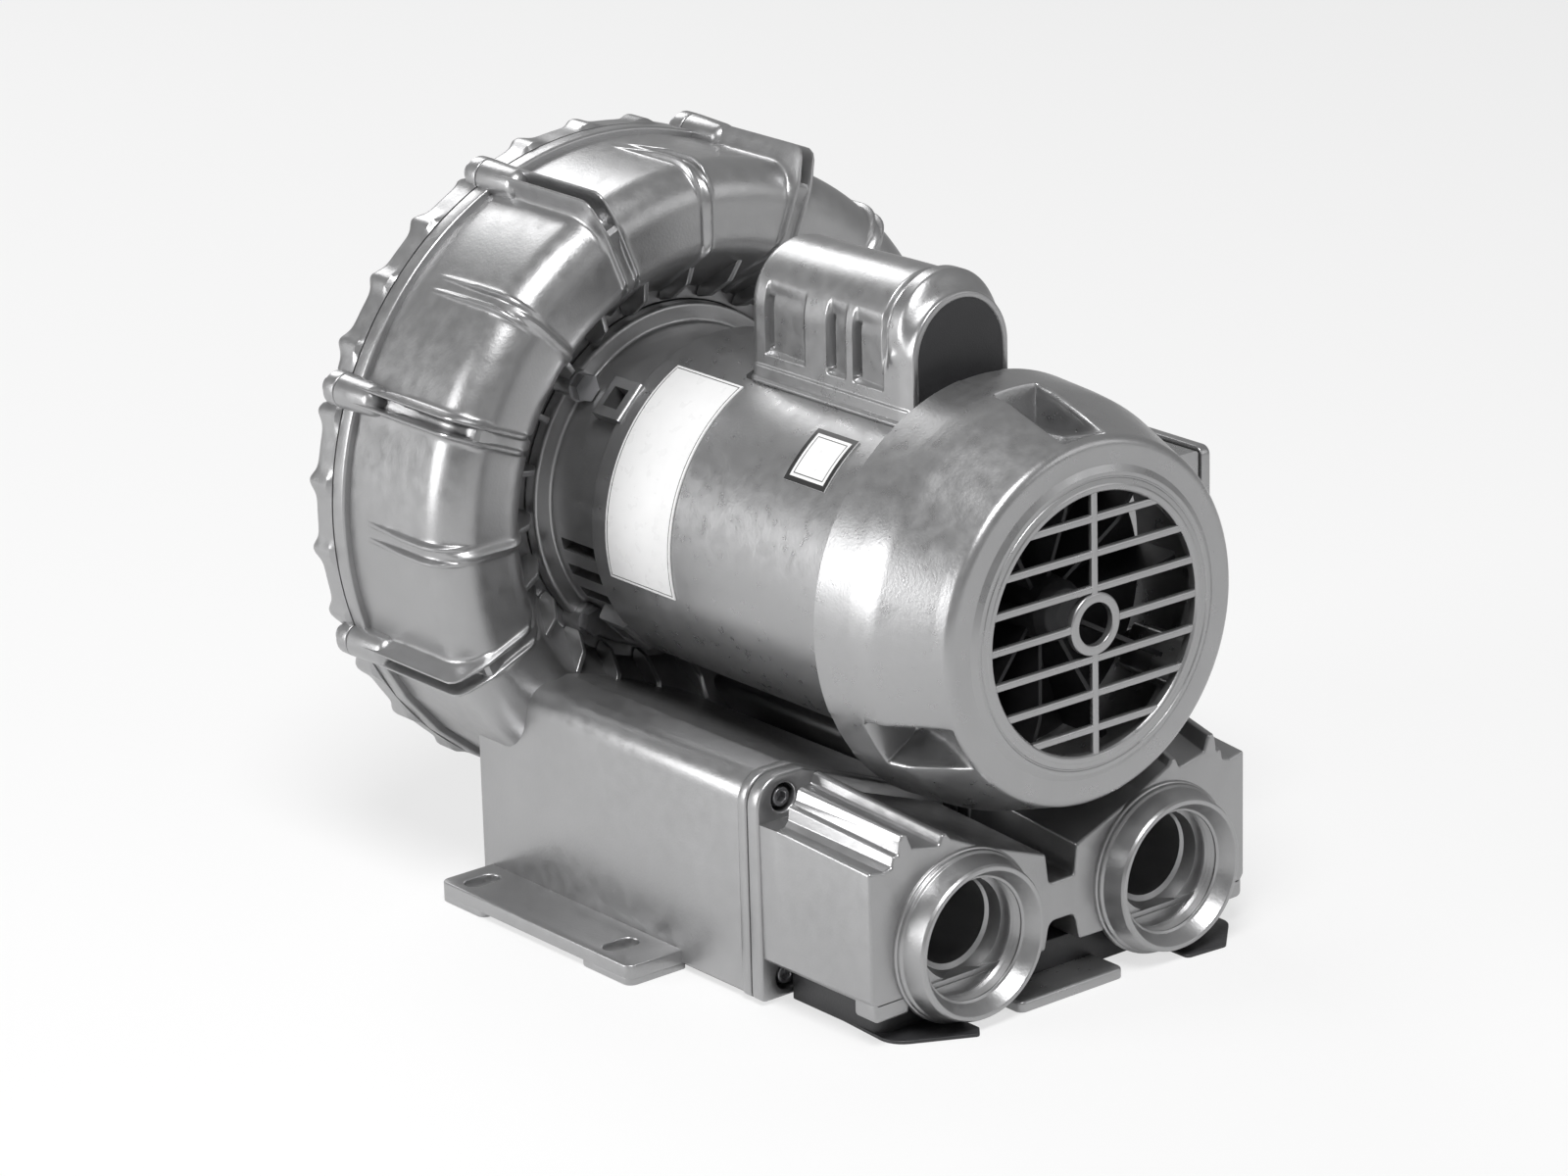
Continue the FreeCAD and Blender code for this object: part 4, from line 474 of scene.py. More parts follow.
bossTurns = np.arange(22.5, 360, 45)    # screw bosses of casing and rear cover, in degrees
casing = {
    "flangeRear": 128, "flangeFront": 119, "flangeRadius": 171, "sideRadius": 167,
    "shoulderStart": 56, "front": 36, "bendRadius": 124, "hubFace": 76, "hubRadius": 97, "bore": 90,
    "tallRadius": 178.5, "tallFront": 33, "lowHeight": 3.4,
    "bendMiddle": 147, "bend": 20, "sideRows": 18, "bendRows": 14, "faceRows": 30,
    "tallRibs": (22.5, 67.5, 112.5, 247.5, 292.5, 337.5), "lowRibs": (0, 45, 90, 270, 315),
    "bossCircle": 171, "bossRadius": 9.2, "bossFront": 101, "gapColumns": 12,
    "web": [(47, 118.5, 1), (53, 104, 5), (66, 94, 3), (75.5, 91.5, 1), (75.5, 99, 1)],
    "webHalf": 1.5, "webStep": 15,
}


def lineArc(centre, radius, start, end, count=13):
    angles = np.radians(np.linspace(start, end, count))
    return np.stack([centre[0] + radius * np.cos(angles), centre[1] + radius * np.sin(angles)], -1)


def casingSkins(c):
    # three lines of (y, radius) with matching rows: the bare skin, the tall ribs and the low ribs
    start, front, middle = c["shoulderStart"], c["front"], c["bendMiddle"]
    side, hub = c["sideRadius"], c["hubRadius"]
    sideRows, bendRows, faceRows = c["sideRows"], c["bendRows"], c["faceRows"]
    bare = runs(
        ([(c["flangeFront"], side), (start, side)], sideRows),
        (lineArc((start, middle), c["bend"], 90, 180), bendRows),
        (roundedLine([(front, middle), (front, c["bendRadius"], 14), (c["hubFace"], hub)], 8, False), faceRows),
    )
    tallRadius, tallFront = c["tallRadius"], c["tallFront"]
    corner = [(58, tallRadius), (38.5, tallRadius, 7), (tallFront, 160, 6), (tallFront, middle)]
    tall = runs(
        ([(c["flangeFront"], tallRadius), (58, tallRadius)], sideRows),
        (roundedLine(corner, 6, False), bendRows),
        (roundedLine([(tallFront, middle), (tallFront, 130, 12), (74, hub - 1)], 8, False), faceRows),
    )
    high = c["lowHeight"]
    lowBend = [(front - high, middle), (front - high, c["bendRadius"] + 1, 15), (73, hub - 1)]
    low = runs(
        ([(c["flangeFront"], side), (104, side), (70, side + high), (start, side + high)], sideRows),
        (lineArc((start, middle), c["bend"] + high, 90, 180), bendRows),
        (roundedLine(lowBend, 8, False), faceRows),
    )
    return bare, tall, low


ribAcross = np.array([0, 1.0, 1.7, 2.2, 2.6, 2.9, 3.15, 3.5, 4.1, 4.7, 5.05, 5.3, 5.6, 6.0, 6.6, 7.6, 9.0, 11.0])
twinWeights = np.array([0, 0, 0.03, 0.1, 0.3, 0.6, 0.88, 0.98, 1, 0.98, 0.88, 0.6, 0.3, 0.12, 0.05, 0.015, 0, 0])


def ribWeights(bare):
    # weights by row and sideways distance: rows run from the flange over the shoulder to the hub; the
    # shoulder ends near shoulderRow, and each rib swells to a knot at knotRow
    shoulderRow, knotRow = 20, 27
    across = bothSides(ribAcross, -1)
    twin = bothSides(twinWeights)[None, :]
    row = np.arange(len(bare))[:, None]
    core = 1 - smooth(np.abs(across), 3.4, 5.2)
    root = smooth(bare[:, :1], 94, 112) * (row < shoulderRow)
    knot = np.exp(-((row - knotRow) / 1.8) ** 2) * (1 - smooth(np.abs(across), 4.5, 7.5))
    skirt = 0.3 * np.exp(-(across / 6.5) ** 2) * smooth(bare[:, :1], 70, 112) * (row < shoulderRow)
    tall = np.maximum(np.maximum(twin, 0.86 * core * root), np.maximum(0.9 * knot, skirt))
    merge = smooth(row, shoulderRow, knotRow + 1)
    low = twin * (1 - merge) + np.exp(-(across / 2.3) ** 2) * merge
    return across, tall, low


def radial(turn):
    # outline in y and radius, thickness across the given turn about the motor axis
    s, c = math.sin(math.radians(turn)), math.cos(math.radians(turn))
    return lambda p: np.stack([p[..., 1] * s + p[..., 2] * c, p[..., 0],
                               axisHeight + p[..., 1] * c - p[..., 2] * s], -1)


def makeCasing(c):
    bare, tall, low = casingSkins(c)
    across, tallWeights, lowWeights = ribWeights(bare)
    features = [(turn, across, tallWeights, tall) for turn in c["tallRibs"]]
    features += [(turn, across, lowWeights, low) for turn in c["lowRibs"]]
    skin = ribbedRing(bare, features, c["gapColumns"])
    shell = Shell()
    shell.grid(skin, wrapColumns=True)
    # the hub, the bore and the joint flange close the ring behind the skin
    rest = roundedLine([
        (c["hubFace"], c["hubRadius"]), (c["hubFace"], c["bore"], 1), (c["flangeRear"], c["bore"], 1),
        (c["flangeRear"], c["flangeRadius"], 0.8), (c["flangeFront"], c["flangeRadius"], 1.5),
        (c["flangeFront"], c["sideRadius"]),
    ], 4, False)
    columns = skin.shape[1]
    angles = np.arctan2(skin[0, :, 0], skin[0, :, 2] - axisHeight)
    shell.grid(ringAt(rest, count=columns, angles=angles), wrapColumns=True)
    # screw bosses at the root of the tall ribs
    for turn in bossTurns:
        x = c["bossCircle"] * math.sin(math.radians(turn))
        z = axisHeight + c["bossCircle"] * math.cos(math.radians(turn))
        line = roundedLine([(c["flangeRear"], 0), (c["flangeRear"], c["bossRadius"], 0.8),
                            (c["bossFront"], c["bossRadius"] - 1.2, 6), (c["bossFront"] - 4, 0)], 5, False)
        shell.grid(ringAt(line, x, z, 28), wrapColumns=True)
    # short webs round the hub, between the casing and the motor's flange
    for turn in np.arange(0, 360, c["webStep"]):
        plate(shell, roundedLine(c["web"], 4), -c["webHalf"], c["webHalf"], radial(turn), 0.5)
    return shell


# Silencer tunnels and feet, part of the same casting

tunnel = {"front": -137, "rear": 79, "floor": 3, "top": 114.5, "half": 123.3, "inner": 9, "edge": 1.6, "bead": 1.0,
          "beadLong": 6.5}
tunnelLine = [
    (tunnel["inner"], tunnel["floor"], 1.5), (tunnel["half"], tunnel["floor"], 2),
    (tunnel["half"], tunnel["top"], 22), (tunnel["half"] - 28, tunnel["top"], 10),
    (tunnel["inner"] + 22, tunnel["top"] - 26, 6), (tunnel["inner"], tunnel["top"] - 34, 6),
]
middleWeb = boxLine(-11, 11, 28, 52, 1)    # joins the two tunnels
foot = {
    "inner": 120.5, "outer": 156, "front": -83, "rear": 72, "thick": 10.6, "relief": 3.3, "corner": 5,
    "padFront": 40, "padRear": 36, "slotX": 140.5, "slotY": 57, "slotWide": 11, "slotLong": 20,
}


def slotLine(x, y, long, wide, steps=10):
    # a slot's outline: two half circles joined by straight sides
    reach = (long - wide) / 2
    angles = np.linspace(-math.pi / 2, math.pi / 2, steps)
    right = np.stack([x + reach + wide / 2 * np.cos(angles), y + wide / 2 * np.sin(angles)], -1)
    left = np.stack([x - reach - wide / 2 * np.cos(angles), y - wide / 2 * np.sin(angles)], -1)
    return np.concatenate([right, left])


def makeTunnels(t, f):
    shell = Shell()
    line = roundedLine(tunnelLine, 8)
    plate(shell, line, t["front"], t["rear"], alongY, t["edge"])
    plate(shell, grown(line, t["bead"]), t["front"], t["front"] + t["beadLong"], alongY, 1.3)

    def footLine(low, high):
        return boxLine(f["inner"], f["outer"], low, high, (2, f["corner"], f["corner"], 2), 6)

    slots = [slotLine(f["slotX"], side * f["slotY"], f["slotLong"], f["slotWide"]) for side in (-1, 1)]
    plate(shell, footLine(f["front"], f["rear"]), f["relief"], f["thick"], alongZ, 0.9, slots, lowEdge=0.3)
    for low, high, slot in ((f["front"], f["front"] + f["padFront"], slots[0]),
                            (f["rear"] - f["padRear"], f["rear"], slots[1])):
        plate(shell, footLine(low, high), 0, f["relief"] + 0.4, alongZ, 0.3, [slot], lowEdge=0.6)
    shell.mirrored()
    plate(shell, middleWeb, t["front"], t["rear"], alongY, 0.8)
    return shell


makePiece("casingShell", makeCasing(casing), "cast_paint", replaces=("front_housing",))
makePiece("tunnelCasting", makeTunnels(tunnel, foot), "cast_paint", replaces=("front_housing",))
print("stage: casing and tunnels")

# Port manifold with its flange, rails and threaded ports

manifold = {
    "front": -223, "rear": -146, "seat": -138.1, "edge": 1.7, "grow": 1.0,
    "screwX": 108, "screwZ": (103.5, 12.5), "sink": 7.2, "screwRadius": 5.1, "screwHigh": 6.2,
    "portX": 63.5, "portZ": 44, "opening": 34, "openingLow": 24.2, "bore": 30.3, "collar": -239,
    "pocketX": 100.4, "pocketZ": 93.5, "pocketFront": -159, "railsFrom": -165,
    "lipX": (97, 118.6), "lipZ": (13.5, 24), "lipLong": 15,
}
# half sections at the ports and at the flange: side edge, rail, ridge, rail and the dip over the middle
manifoldFront = [
    (120.3, 25, 1.5), (120.3, 90.2, 1.6), (111, 88.2, 1.5), (106.2, 89.5, 1.2), (105, 94.5, 1), (102, 94.5, 1),
    (101, 101, 1.5), (99.8, 104, 1.2), (96.6, 103.6, 1.2), (93.5, 96, 1), (90.4, 95.4, 0.3), (89, 95.1, 0.3),
    (77, 92.6, 2), (75, 97.4, 1.2), (72, 97.4, 1.2), (69.5, 94.5, 1.2), (52.3, 86.2, 3), (10, 70.2, 2), (8, 55, 2),
]
manifoldRear = [
    (122.6, 25, 1.5), (123.2, 95, 1.6), (119.4, 96.5, 1.5), (117.8, 99.5, 1.2), (117.4, 106.4, 1),
    (114.6, 106.8, 1), (113, 107.6, 1.5), (111.4, 113.4, 1.2), (108.2, 114, 1.2), (105, 107.5, 1),
    (101, 107.1, 0.3), (99.6, 106.9, 0.3), (91, 106, 2), (89, 111.2, 1.2), (85.6, 111.2, 1.2), (82.6, 106, 1.2),
    (58, 93, 3), (12, 76, 2), (8, 58, 2),
]
manifoldLow = [(8, 34.6, 4), (11, 20.6, 2), (117, 20.6, 2)]


def flipped(corners):
    # the same corners at -X, in reverse order so that the outline runs on
    return [(-x, z, edge) for x, z, edge in reversed(corners)]


def circleLine(x, z, radius, count=48):
    angles = roundAngles(count)
    return np.stack([x + radius * np.cos(angles), z + radius * np.sin(angles)], -1)


def makeManifold(c):
    shell = Shell()
    front, rear = [roundedLine(half + flipped(half) + flipped(manifoldLow) + manifoldLow, 4)
                   for half in (manifoldFront, manifoldRear)]
    # rows: straight from the flange's section to the front section, then round the front edge; the rails
    # begin in front of a pocket for the upper screw's head
    length = c["front"] + c["edge"] - c["rear"]
    lowered = (np.abs(rear[:, 0]) > c["pocketX"]) & (rear[:, 1] > c["pocketZ"])
    pocketLevels = [c["rear"], c["rear"] - 6, c["pocketFront"] + 1, c["pocketFront"]]
    rows = []
    for level in [*pocketLevels, *np.linspace(c["railsFrom"], c["rear"] + length, 9)]:
        section = rear + (front - rear) * (level - c["rear"]) / length
        if level > c["pocketFront"]:
            section[lowered, 1] = c["pocketZ"]
        rows.append(atLevel(section, level))
    for a in np.linspace(0, math.pi / 2, 5)[1:]:
        level = c["front"] + c["edge"] * (1 - math.sin(a))
        rows.append(atLevel(grown(front, -c["edge"] * 0.8 * (1 - math.cos(a))), level))
    shell.grid(alongY(np.array(rows)), wrapColumns=True)
    holes = []
    for side in (1, -1):
        hole = circleLine(side * c["portX"], c["portZ"], c["opening"])
        hole[:, 1] = np.maximum(hole[:, 1], c["openingLow"])
        holes.append(hole)
        wall = [atLevel(hole, level) for level in (c["front"], c["rear"])]
        shell.grid(alongY(np.array(wall)), wrapColumns=True)
        # a lower lip at the front corner
        (near, far), (low, high) = c["lipX"], c["lipZ"]
        lip = boxLine(side * near, side * far, low, high, (2, 3, 1, 1), 4)
        plate(shell, lip, c["front"], c["front"] + c["lipLong"], alongY, 1.5)
    cap(shell, [rows[-1][:, :2]] + holes, c["front"], alongY)
    half = Shell()
    sinks = [circleLine(c["screwX"], z, c["sink"], 32) for z in c["screwZ"]]
    plate(half, grown(roundedLine(tunnelLine, 8), c["grow"]), c["rear"], c["seat"], alongY, 1.0, sinks, lowEdge=1.3)
    half.mirrored()
    shell.put(np.concatenate(half.points), half.faces)
    plate(shell, middleWeb, c["rear"], c["seat"], alongY, 0.8)
    return shell


def makePorts(c):
    # one profile turned about each port: collar, sloping wall, lip, wide inner bevel and the thread
    thread = [(-230 + 2.3 * turn + step, radius) for turn in range(3)
              for step, radius in ((0, c["bore"]), (1.15, c["bore"] + 1.2))]
    line = roundedLine([
        (-222, 43.7), (-224.6, 43.6, 0.8), (-225, 42.7, 0.3), (-226.6, 42.4, 1), (-227.6, 41.2, 1),
        (-237.4, 38.8, 0.8), (c["collar"], 37.9, 0.8), (c["collar"], 35.9, 0.9), (-231.4, 31.6, 0.8),
        (-230.9, 30.3, 0.3), *thread, (-222.8, c["bore"]), (-214.5, c["opening"] + 0.3), (-222, c["opening"] + 0.3),
    ], 4)
    shell = Shell()
    for side in (1, -1):
        shell.grid(ringAt(line, side * c["portX"], c["portZ"], 84), wrapRows=True, wrapColumns=True)
    return shell


def makeRooms(c):
    # the dark way in behind each thread: a funnel to a narrower tube that sits higher, closed at its end
    levels = np.array([(-222.9, c["bore"] + 0.4, 0), (-221.8, c["bore"] + 0.2, 0), (-221.4, 25.4, 3),
                       (-215, 23.6, 4), (-214, 21.8, 5), (c["rear"] + 1, 22, 5), (c["rear"] + 1, 0, 5)])
    angles = roundAngles(48)
    y, r, lift = [levels[:, k][:, None] for k in range(3)]
    shell = Shell()
    for side in (1, -1):
        shell.grid(np.stack([side * c["portX"] + r * np.sin(angles), y + 0 * angles,
                             c["portZ"] + lift + r * np.cos(angles)], -1), wrapColumns=True)
    return shell


def makeManifoldScrews(c):
    # a profile turned about each screw's axis; the rows of its socket follow a hexagon instead of a circle
    angles = roundAngles(36)
    hexagon = math.cos(math.pi / 6) / np.cos(angles % (math.pi / 3) - math.pi / 6)
    rows = np.array([(-0.1, 1, 0), (0.75, 1, 0), (0.93, 0.95, 0), (1, 0.86, 0), (1, 0.62, 0), (0.94, 0.58, 1),
                     (0.4, 0.56, 1), (0.35, 0.3, 0), (0.33, 0, 0)])
    r = c["screwRadius"] * rows[:, 1:2] * (1 + rows[:, 2:3] * (hexagon - 1))
    y = c["seat"] - 0.2 - c["screwHigh"] * rows[:, :1] + 0 * angles
    shell = Shell()
    for side in (1, -1):
        for z in c["screwZ"]:
            x = side * c["screwX"]
            shell.grid(np.stack([x + r * np.sin(angles), y, z + r * np.cos(angles)], -1), wrapColumns=True)
    return shell


# Dark tray and light foot under the manifold

tray = {
    "half": 112, "rear": -147, "skid": 1.8, "high": 20.4, "raisedFront": -213,
    "footX": (-39, 28), "footY": (-236, -212), "footThick": 5.6,
}


def makeTray(c):
    shell = Shell()
    h, rear = c["half"], c["rear"]
    left = [(-66, rear, 1), (-66, -237, 2), (-71, -243, 2), (-h + 3, -223, 14), (-h + 8, rear, 1)]
    right = [(h, rear, 1), (h - 1, -222, 9), (90, -242, 3), (66, -240, 3), (66, rear, 1)]
    for corners in (left, right):
        plate(shell, roundedLine(corners, 6), 0, c["skid"], alongZ, 0.5)
    half = h - 5
    raised = boxLine(-half, half, c["raisedFront"], rear, (7, 7, 2, 2), 6)
    plate(shell, raised, 0.3, c["high"], alongZ, 0.6)
    return shell


def makeFoot(c):
    shell = Shell()
    (left, right), (front, rear) = c["footX"], c["footY"]
    line = boxLine(left, right, front, rear, (4, 4, 2, 2), 6)
    plate(shell, line, 0, c["footThick"], alongZ, 1.4, lowEdge=0.6)
    return shell


makePiece("manifoldCasting", makeManifold(manifold), "cast_paint", replaces=("port_manifold",))
makePiece("portRings", makePorts(manifold), "cast_paint", replaces=("port_manifold",))
makePiece("portRooms", makeRooms(manifold), "cast_paint", replaces=("port_manifold",))
makePiece("manifoldScrewHeads", makeManifoldScrews(manifold), "fasteners", replaces=("manifold_screws",))
makePiece("trayShell", makeTray(tray), "black_paint", replaces=("front_tray",))
makePiece("trayFoot", makeFoot(tray), "sheet_paint", replaces=("front_foot",))
print("stage: manifold and ports")

# Fan cover

fanCover = {
    "rear": -168, "rearRadius": 105.5, "bend": -205, "bendRadius": 102.5, "face": -249, "lip": -246.5,
    "faceRadius": 89.5, "ringInner": 64.1, "wall": 2.2,
    "pocketTurns": (0, 120, 240), "pocketHalf": 13, "pocketFloor": 80, "pocketRear": -193, "pocketRoof": 104,
    "barPitch": 17.3, "barThick": 3.9, "barDeep": 3.2, "barEdge": 1.0, "hubRing": 15.5, "hubBore": 10.5,
    "gapColumns": 44,
}


def makeFanCover(c):
    # the skin from the rear rim to the face, in matching rows for the plain skin and for the pocket floor
    rear, lip, face, wall, back = c["rear"], c["lip"], c["face"], c["wall"], c["pocketRear"]
    roof = c["pocketRoof"]
    skin = runs(
        (roundedLine([(rear, c["rearRadius"] - 1), (rear, c["rearRadius"], 1), (back + 1, roof)], 5, False), 18),
        ([(back + 1, roof), (back, roof - 0.1)], 3),
        ([(back, roof - 0.1), (back - 3, roof - 0.4)], 7),
        (roundedLine([(back - 3, roof - 0.4), (c["bend"], c["bendRadius"], 40), (lip + 9, 91.8)], 10, False), 50),
        (roundedLine([(lip + 9, 91.8), (lip, c["faceRadius"] - 0.4, 7), (lip, 81)], 10, False), 30),
    )
    floorRadius = np.interp(skin[:, 0], [-256, -246, -240, -226, -215, -205, back - 2.4, back - 1, back, back + 1],
                            [96, 92, 89.3, 84.1, 80.8, c["pocketFloor"], c["pocketFloor"], 81.5, 102.6, 105])
    pocket = np.stack([skin[:, 0], np.minimum(skin[:, 1], floorRadius)], -1)
    across = np.array([0, 3, 6, 8.5, 10.2, 11.2, 11.8, 12.2, 12.5, 12.7, 12.9, 13.1, 13.4, 14.0, 15.2, 17])
    weights = np.array([1, 1, 1, 0.99, 0.96, 0.9, 0.8, 0.66, 0.5, 0.34, 0.2, 0.1, 0.04, 0.012, 0, 0])
    across, weights = bothSides(across, -1) * c["pocketHalf"] / 12.8, bothSides(weights)
    points = ribbedRing(skin, [(turn, across, weights, pocket) for turn in c["pocketTurns"]], c["gapColumns"])
    shell = Shell()
    shell.grid(points, wrapColumns=True)
    columns = points.shape[1]
    angles = np.arctan2(points[-1, :, 0], points[-1, :, 2] - axisHeight)
    # the flat ring, the raised ring with its lip around the air opening, then back along the inside
    rest = roundedLine([
        (lip, 81), (lip, 76.5, 0.8), (face + 0.6, 73.4, 0.8), (face + 0.6, 71.6, 0.3), (face + 1.1, 71.2, 0.2),
        (face + 1.1, 70.6, 0.2), (face + 0.6, 70.2, 0.3), (face + 0.4, 68.0, 0.8),
        (face, 67.2, 0.9), (face, 65.2, 1.0), (face + 1.2, 64.1, 1), (face + 5.4, 64.1, 0.5),
        (face + 5.4, 66, 0.5), (face + 3.2, 70, 1), (lip + wall, 76, 1), (lip + wall, 79)], 4, False)
    shell.grid(ringAt(rest, count=columns, angles=angles), wrapColumns=True)
    # the inner wall follows the skin, one wall's width under it
    depth = np.maximum(points[..., 1], lip + wall)
    radius = np.hypot(points[..., 0], points[..., 2] - axisHeight)
    angle = np.arctan2(points[..., 0], points[..., 2] - axisHeight)
    radius = np.minimum(radius - wall, np.interp(points[..., 1], [lip, lip + 9], [79, 100]))
    inner = turned(radius, angle, depth)
    shell.grid(inner[1:], wrapColumns=True)
    shell.grid(np.stack([points[0], inner[1]]), wrapColumns=True)
    return shell


def makeGrille(c):
    # seven flat bars, one upright and a turned ring in the middle; each bar is a section carried along a line
    shell = Shell()
    reach = c["ringInner"] + 1.2
    front = c["face"] + 0.9
    section = boxLine(-c["barThick"] / 2, c["barThick"] / 2, 0, c["barDeep"], c["barEdge"], 3)

    def bar(low, high, height=0, upright=False):
        line = np.linspace(low, high, 9)[:, None]
        points = np.zeros((len(line), len(section), 3))
        points[..., 0] = section[:, 0] if upright else line
        points[..., 1] = front + section[:, 1] - 0.25 * upright
        points[..., 2] = axisHeight + (line if upright else height + section[:, 0])
        shell.grid(points, wrapColumns=True)

    for place in (-3, -2, -1, 1, 2, 3):
        height = c["barPitch"] * place
        span = math.sqrt(reach * reach - height * height)
        bar(-span, span, height)
    # the middle bar and the upright stop inside the ring, whose bore is open
    stop = (c["hubBore"] + c["hubRing"]) / 2
    for upright in (False, True):
        bar(-reach, -stop, upright=upright)
        bar(stop, reach, upright=upright)
    ring = roundedLine([(front - 0.6, c["hubBore"], 0.8), (front - 0.6, c["hubRing"], 1.3),
                        (front + 3.6, c["hubRing"], 0.8), (front + 3.6, c["hubBore"], 0.8)], 4)
    shell.grid(ringAt(ring, count=72), wrapRows=True, wrapColumns=True)
    return shell


makePiece("fanCoverSkin", makeFanCover(fanCover), "sheet_paint", replaces=("fan_cover",))
makePiece("fanGrille", makeGrille(fanCover), "sheet_paint", replaces=("fan_cover",))
print("stage: fan cover")

# Capacitor cover

capCover = {
    "half": 30.5, "rear": -33, "nose": -155, "low": 80, "frameRadius": 86.1, "wall": 2.5,
    "panels": ((46, 74), (92.5, 104.5), (112, 132.5)), "sill": 94.5, "crest": 125,
    "topRear": 147.6, "topRise": 1.9, "topTaper": 9.2, "rearRound": 6, "frontRound": 1.2,
    "beadZ": 81.3, "beadHalf": 1.5, "beadOut": 1.7, "knob": (-141, 114),
}


def makeCapCover(c):
    # a D-shaped section carried along the motor; its half width and its top change along the way
    rear, nose, half, rearRound, frontRound = c["rear"], c["nose"], c["half"], c["rearRound"], c["frontRound"]
    y = np.concatenate([
        rear - rearRound * (1 - np.cos(np.linspace(0, math.pi / 2, 9))), np.linspace(-39.6, -130, 130),
        np.linspace(-130.5, nose + 1.3, 64), nose + frontRound * (1 - np.sin(np.linspace(0, math.pi / 2, 6))),
    ])[:, None]
    u = -y

    def roundIn(reach, radius):
        # how far a round of this radius draws in, reach past its start
        return radius - np.sqrt(np.maximum(radius ** 2 - np.clip(reach, 0, radius) ** 2, 0))

    rearIn, frontIn = roundIn(y - rear + rearRound, rearRound), roundIn(nose + frontRound - y, frontRound)
    groove = smooth(u, 131, 133.4) * (1 - smooth(u, 135.6, 138))
    crest, taper = smooth(u, 135.6, 138.4), smooth(u, 144, 154)
    top = c["topRear"] + c["topRise"] * smooth(u, 33, 131) - 2.7 * groove + 2.3 * crest - c["topTaper"] * taper
    top = top - rearIn - frontIn
    archHalf = half - 2.3 * groove + 0.3 * crest - 0.9 * taper - rearIn - frontIn
    flankHalf = half - 0.6 * taper - rearIn - frontIn
    springing = top - archHalf
    # the flank from the frame up, dense at the bead, the step and the ledges, then the arch
    rise = np.concatenate([np.linspace(0, 4, 14), np.linspace(4.4, 13, 18), np.linspace(13.4, 19, 20),
                           np.linspace(20, 39, 16)]) / 39
    t = np.concatenate([rise, 1 + np.linspace(0, 1, 81)[1:-1], 3 - rise[::-1]])[None, :]
    angle = np.clip(t - 1, 0, 1) * math.pi
    climb = np.where(t <= 1, t, 3 - t)
    flank = (t <= 1) | (t >= 2)
    z = np.where(flank, c["low"] + (springing - c["low"]) * climb, springing + archHalf * np.sin(angle))
    side = np.where(t < 1.5, -1, 1)
    neck = smooth(z, 105, 118)
    x = np.where(flank, side * (flankHalf + (archHalf - flankHalf) * neck), -archHalf * np.cos(angle))
    normalX = np.where(flank, side, -np.cos(angle))
    normalZ = np.where(flank, 0, np.sin(angle))
    # sunk panels: deepest in a slot at the rear edge, with a sloping ledge at the bottom
    sunk = 0 * z + 0 * y
    for near, far in c["panels"]:
        rows = smooth(z, c["sill"], c["sill"] + 2.6) * (1 - smooth(z, c["crest"], c["crest"] + 7))
        floor = 1.3 + 1.5 * np.clip((far - u) / (far - near), 0, 1)
        sunk = np.maximum(sunk, rows * smooth(u, near - 0.5, near) * (1 - smooth(u, far, far + 1.4)) * floor)
        slot = smooth(z, c["sill"] + 3.2, c["sill"] + 3.8) * (1 - smooth(z, c["crest"] - 3, c["crest"] + 3))
        sunk = np.maximum(sunk, slot * smooth(u, near - 0.5, near) * (1 - smooth(u, near + 2.9, near + 3.5)) * 6.5)
    step = (1 - smooth(z, 88.4, 89.6)) * 0.9 * (1 - smooth(u, 150, 153))
    bead = np.sqrt(np.clip(1 - ((z - c["beadZ"]) / c["beadHalf"]) ** 2, 0, 1)) * c["beadOut"]
    bead = bead * (1 - smooth(u, 150, 153))
    knob = np.exp(-((y - c["knob"][0]) ** 2 + (z - c["knob"][1]) ** 2) / 8)
    push = step + np.where(flank, bead, 0) + knob - np.where(np.abs(normalX) > 0.7, sunk, 0)
    x, z = x + normalX * push, z + normalZ * push
    seat = np.sqrt(np.maximum(c["frameRadius"] ** 2 - x * x, 0))
    z = np.where(t * (3 - t) <= 0, seat, np.maximum(z, seat))
    points = np.stack([x, y + 0 * t, axisHeight + z], -1)
    shell = Shell()
    shell.grid(points)
    shell.put(points[0], [list(range(points.shape[1]))])
    # the rim around the end plug, stepping back behind it
    last = points[-1]
    wall = c["wall"]
    rim = []
    for inset, back in ((0, 0), (1.5, 0), (2.1, 0.25), (wall - 0.05, 0.8), (wall, 3.5)):
        share = last[:, 0] / last[:, 0].max()
        height = last[:, 2] - axisHeight
        lowered = c["low"] + (height - c["low"]) * (1 - inset / (height.max() - c["low"]))
        rim.append(np.stack([last[:, 0] - share * inset, last[:, 1] + back,
                             axisHeight + np.where(height < 90, height, lowered)], -1))
    shell.grid(np.array(rim))
    return shell


makePiece("capacitorShell", makeCapCover(capCover), "sheet_paint", smoothAngle=50,
          replaces=("capacitor_cover",))
print("stage: capacitor cover")

# Rear cover with its fins and scalloped rim

rearCover = {
    "joint": 128.6, "rear": 137, "finRear": 152, "radius": 171, "hub": 40, "fins": 30, "hump": 2.4, "rim": 7,
    "bossRadius": 9.2, "screwRoom": 8.0, "gapColumns": 5,
}


